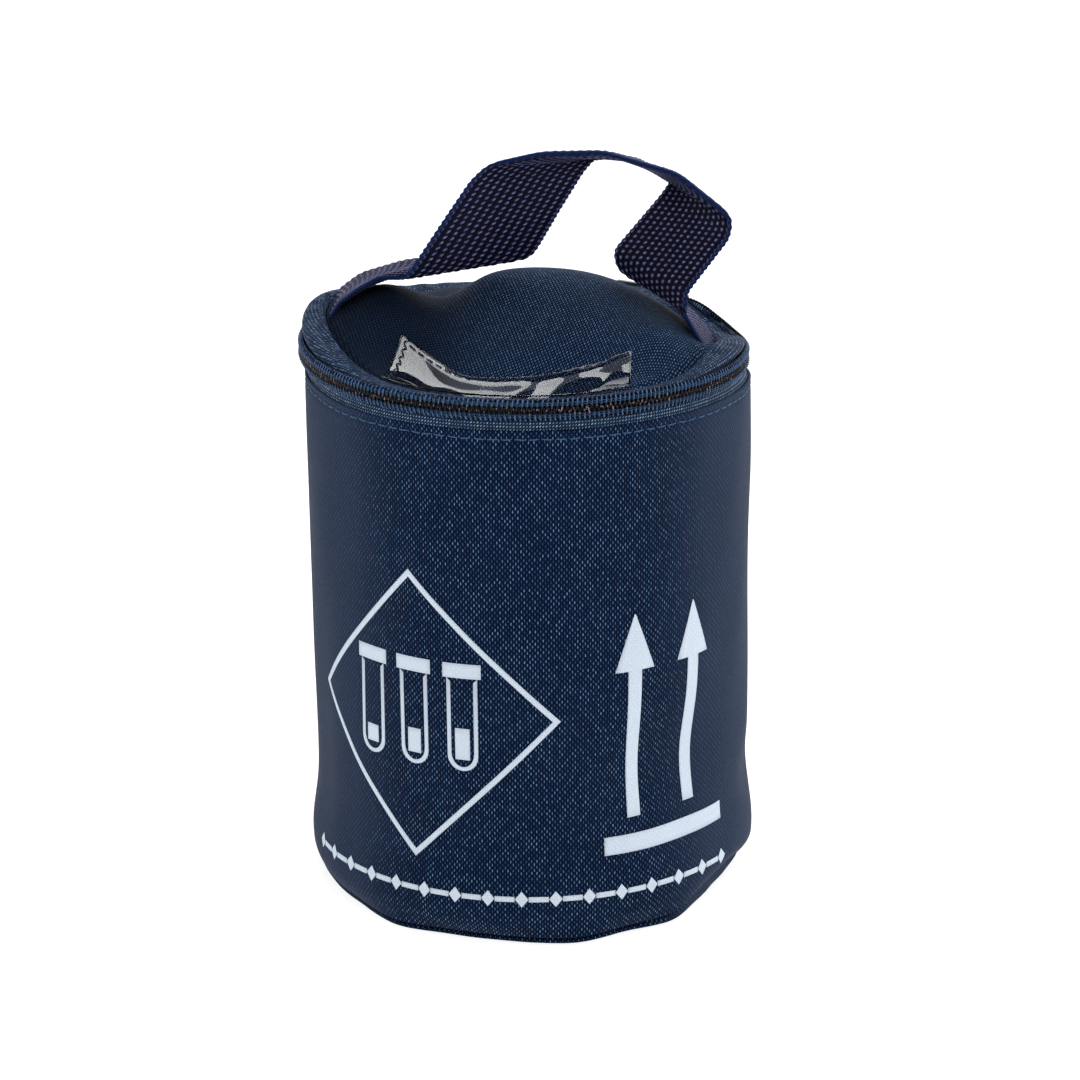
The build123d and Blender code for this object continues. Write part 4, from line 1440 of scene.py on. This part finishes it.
class BAG_OT_inside(bpy.types.Operator):
    """Wipe-clean lining over the wall foam, the base pad and the back seam's binding"""

    bl_idname = "specimen_bag.inside"
    bl_label = "Inside"

    def execute(self, context):
        angles = full_turn(ROUND)
        radius, height = np.split(through(LINING_SECTION, 150), 2, 1)
        folds = 0.35 * np.sin(angles * 9 + height / 17) * np.sin(height / 31 + angles * 2)
        folds = folds * smooth_step(141 - height, 0, 12) * (radius < 56.5)
        tucked = 3.6 * bell(angles, 62, 25) * (1 - smooth_step(height, 7, 16))
        radius = radius - np.abs(folds) - tucked
        lining = self.film("wall_lining_film", angles, radius, height, ("wall_lining", "wall_foam"))
        declare_sheet(lining, 355, 146, "lower_tape")
        radius, height = np.split(through(PAD_SECTION, 60), 2, 1)
        height = height + 0.12 * np.sin(angles * 6) * np.sin(radius / 9) * (height > 4)
        room = np.minimum((base_outline(angles) - 3.4) / PAD_RADIUS, 1.0)
        pad = self.film("base_pad", angles, radius * room, height, ("base_foam", "base_lining"))
        half = COVER_HALF / LINING_RADIUS
        strip = np.linspace(pi - half, pi + half, 17)
        height = np.linspace(BASE_TOP + 0.5, HEM - 2, 60)[:, None]
        crown = 0.55 + 0.45 * np.cos((strip - pi) / half * pi / 2)
        radius = PAD_RADIUS - crown + 0.1 * np.sin(height / 2.6)
        cover = ring_piece("back_binding", strip, radius, height, closed=False)
        cover.data.flip_normals()
        dress(cover, binding_material(), BAG, ("back_seam_binding",), COVER_THICKNESS)
        return {"FINISHED"}

    def film(self, name, angles, radius, height, replaces):
        """Piece in lining film that faces inwards."""
        piece = ring_piece(name, angles, radius, height)
        piece.data.flip_normals()
        dress(piece, lining_material(), BAG, replaces)
        return piece


EDGE_ROUND = 0.18


class BAG_OT_slider(bpy.types.Operator):
    """Finish of the zip slider, its crown and its pull tab"""

    bl_idname = "specimen_bag.slider"
    bl_label = "Slider"

    def execute(self, context):
        for name in ("slider_body", "slider_crown", "pull_tab"):
            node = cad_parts[name]
            bevel = node.modifiers.new("Soft edges", "BEVEL")
            bevel.width = EDGE_ROUND * MM
            bevel.segments = 2
            bevel.limit_method = "ANGLE"
            bevel.angle_limit = radians(40)
            node.data.materials.clear()
            node.data.materials.append(metal_material())
        return {"FINISHED"}


# Stage: places in metres, sizes in metres and powers in watts

LIGHTS = (
    ("Back sky", (0.45, 0.72, 1.55), (1.5, 1.6), 20), ("Left wing", (-1.2, -0.1, 0.55), (0.8, 1.1), 3),
    ("Right wing", (1.2, 0.1, 0.55), (0.8, 1.1), 2.1), ("Front fill", (0.2, -1.5, 1.3), (1.2, 0.8), 14),
)
LIGHT_TARGET = (0, 0, 0.09)
CAMERA_PLACE = (0.0031, -0.900, 0.397)
CAMERA_DOWN = 18.65
CAMERA_ROLL = -0.39


def area_light(name, place, size, power):
    """Soft rectangular light that faces the bag."""
    data = bpy.data.lights.new(name, "AREA")
    data.shape = "RECTANGLE"
    data.size, data.size_y = size
    data.energy = power
    lamp = bpy.data.objects.new(name, data)
    lamp.location = place
    lamp.rotation_euler = (Vector(LIGHT_TARGET) - Vector(place)).to_track_quat("-Z", "Y").to_euler()
    bpy.context.scene.collection.objects.link(lamp)


class BAG_OT_stage(bpy.types.Operator):
    """Pale floor, soft lights and the camera"""

    bl_idname = "specimen_bag.stage"
    bl_label = "Stage"

    def execute(self, context):
        s = settings("stage")
        floor = ring_piece("floor", full_turn(96), np.array([0.002, 0.2, 1.0, 6.0])[:, None] / MM, 0.0)
        floor.data.flip_normals()
        floor.location.z = -0.05 * MM
        g, surface = new_material("Paper", {"Emission Color": (1.0, 1.0, 1.0), "Emission Strength": 0.8})
        tone = g.noise(g.place(), 3.0)
        lighter = [min(1.0, part + 0.01) for part in s.floor]
        floor.data.materials.append(surface(g.mix(tone, s.floor, lighter), g.between(tone, 0.75, 0.8)))
        self.surround(s.surround)
        for light in LIGHTS:
            area_light(*light)
        data = bpy.data.cameras.new("Camera")
        data.lens = s.lens
        data.sensor_width = 36.0
        camera = bpy.data.objects.new("Camera", data)
        bpy.context.scene.collection.objects.link(camera)
        tilt = Matrix.Rotation(radians(90 - CAMERA_DOWN), 4, "X")
        roll = Matrix.Rotation(radians(CAMERA_ROLL), 4, "Z")
        camera.matrix_world = Matrix.Translation(CAMERA_PLACE) @ tilt @ roll
        bpy.context.scene.camera = camera
        bpy.context.scene.view_settings.view_transform = "Standard"
        bpy.context.scene.view_settings.look = "None"
        return {"FINISHED"}

    def surround(self, strength):
        """Bright surround near the horizon and a dimmer sky over it."""
        world = bpy.data.worlds.new("Surround")
        world.use_nodes = True
        g = Graph(world.node_tree)
        x, y, z = g.axes(g.add("ShaderNodeTexCoord").outputs["Generated"])
        left = g.times(g.ramp(g.times(x, -1.0), 0.05, 0.3), g.ramp(z, 0.55, 0.7))
        sky = g.mix(g.ramp(z, 0.93, 1.0), (1, 1, 1), (0.5, 0.51, 0.53))
        sky = g.mix(left, sky, (0.3, 0.31, 0.33))
        sky = g.mix(g.ramp(g.times(y, -1.0), 0.1, 0.75), sky, (0.2, 0.2, 0.21))
        background = g.tree.nodes["Background"]
        g.feed(background.inputs["Color"], sky)
        g.feed(background.inputs["Strength"], strength)
        bpy.context.scene.world = world


OPERATORS = (
    BAG_OT_stage, BAG_OT_base, BAG_OT_wall, BAG_OT_topstitch, BAG_OT_print, BAG_OT_zip, BAG_OT_band,
    BAG_OT_lid, BAG_OT_pocket, BAG_OT_handle, BAG_OT_inside, BAG_OT_slider,
)


class BAG_PT_panel(bpy.types.Panel):
    """Buttons and settings of the bag"""

    bl_idname = "BAG_PT_panel"
    bl_label = "Specimen bag"
    bl_space_type = "VIEW_3D"
    bl_region_type = "UI"
    bl_category = "Bag"

    def draw(self, context):
        for operator in OPERATORS:
            self.layout.operator(operator.bl_idname)
        for group in GROUPS:
            group = getattr(context.scene, group)
            box = self.layout.box()
            for name in group.__annotations__:
                box.prop(group, name)


GROUPS = {
    "bag_cloth": BagClothSettings,
    "bag_hardware": BagHardwareSettings,
    "bag_stage": BagStageSettings,
}


def register():
    for cls in (*GROUPS.values(), *OPERATORS, BAG_PT_panel):
        bpy.utils.register_class(cls)
    for name, group in GROUPS.items():
        setattr(bpy.types.Scene, name, bpy.props.PointerProperty(type=group))


def unregister():
    for name in GROUPS:
        delattr(bpy.types.Scene, name)
    for cls in (BAG_PT_panel, *reversed(OPERATORS), *GROUPS.values()):
        bpy.utils.unregister_class(cls)


def main():
    register()
    for operator in OPERATORS:
        group, name = operator.bl_idname.split(".")
        getattr(getattr(bpy.ops, group), name)()


if __name__ == "__main__":
    main()
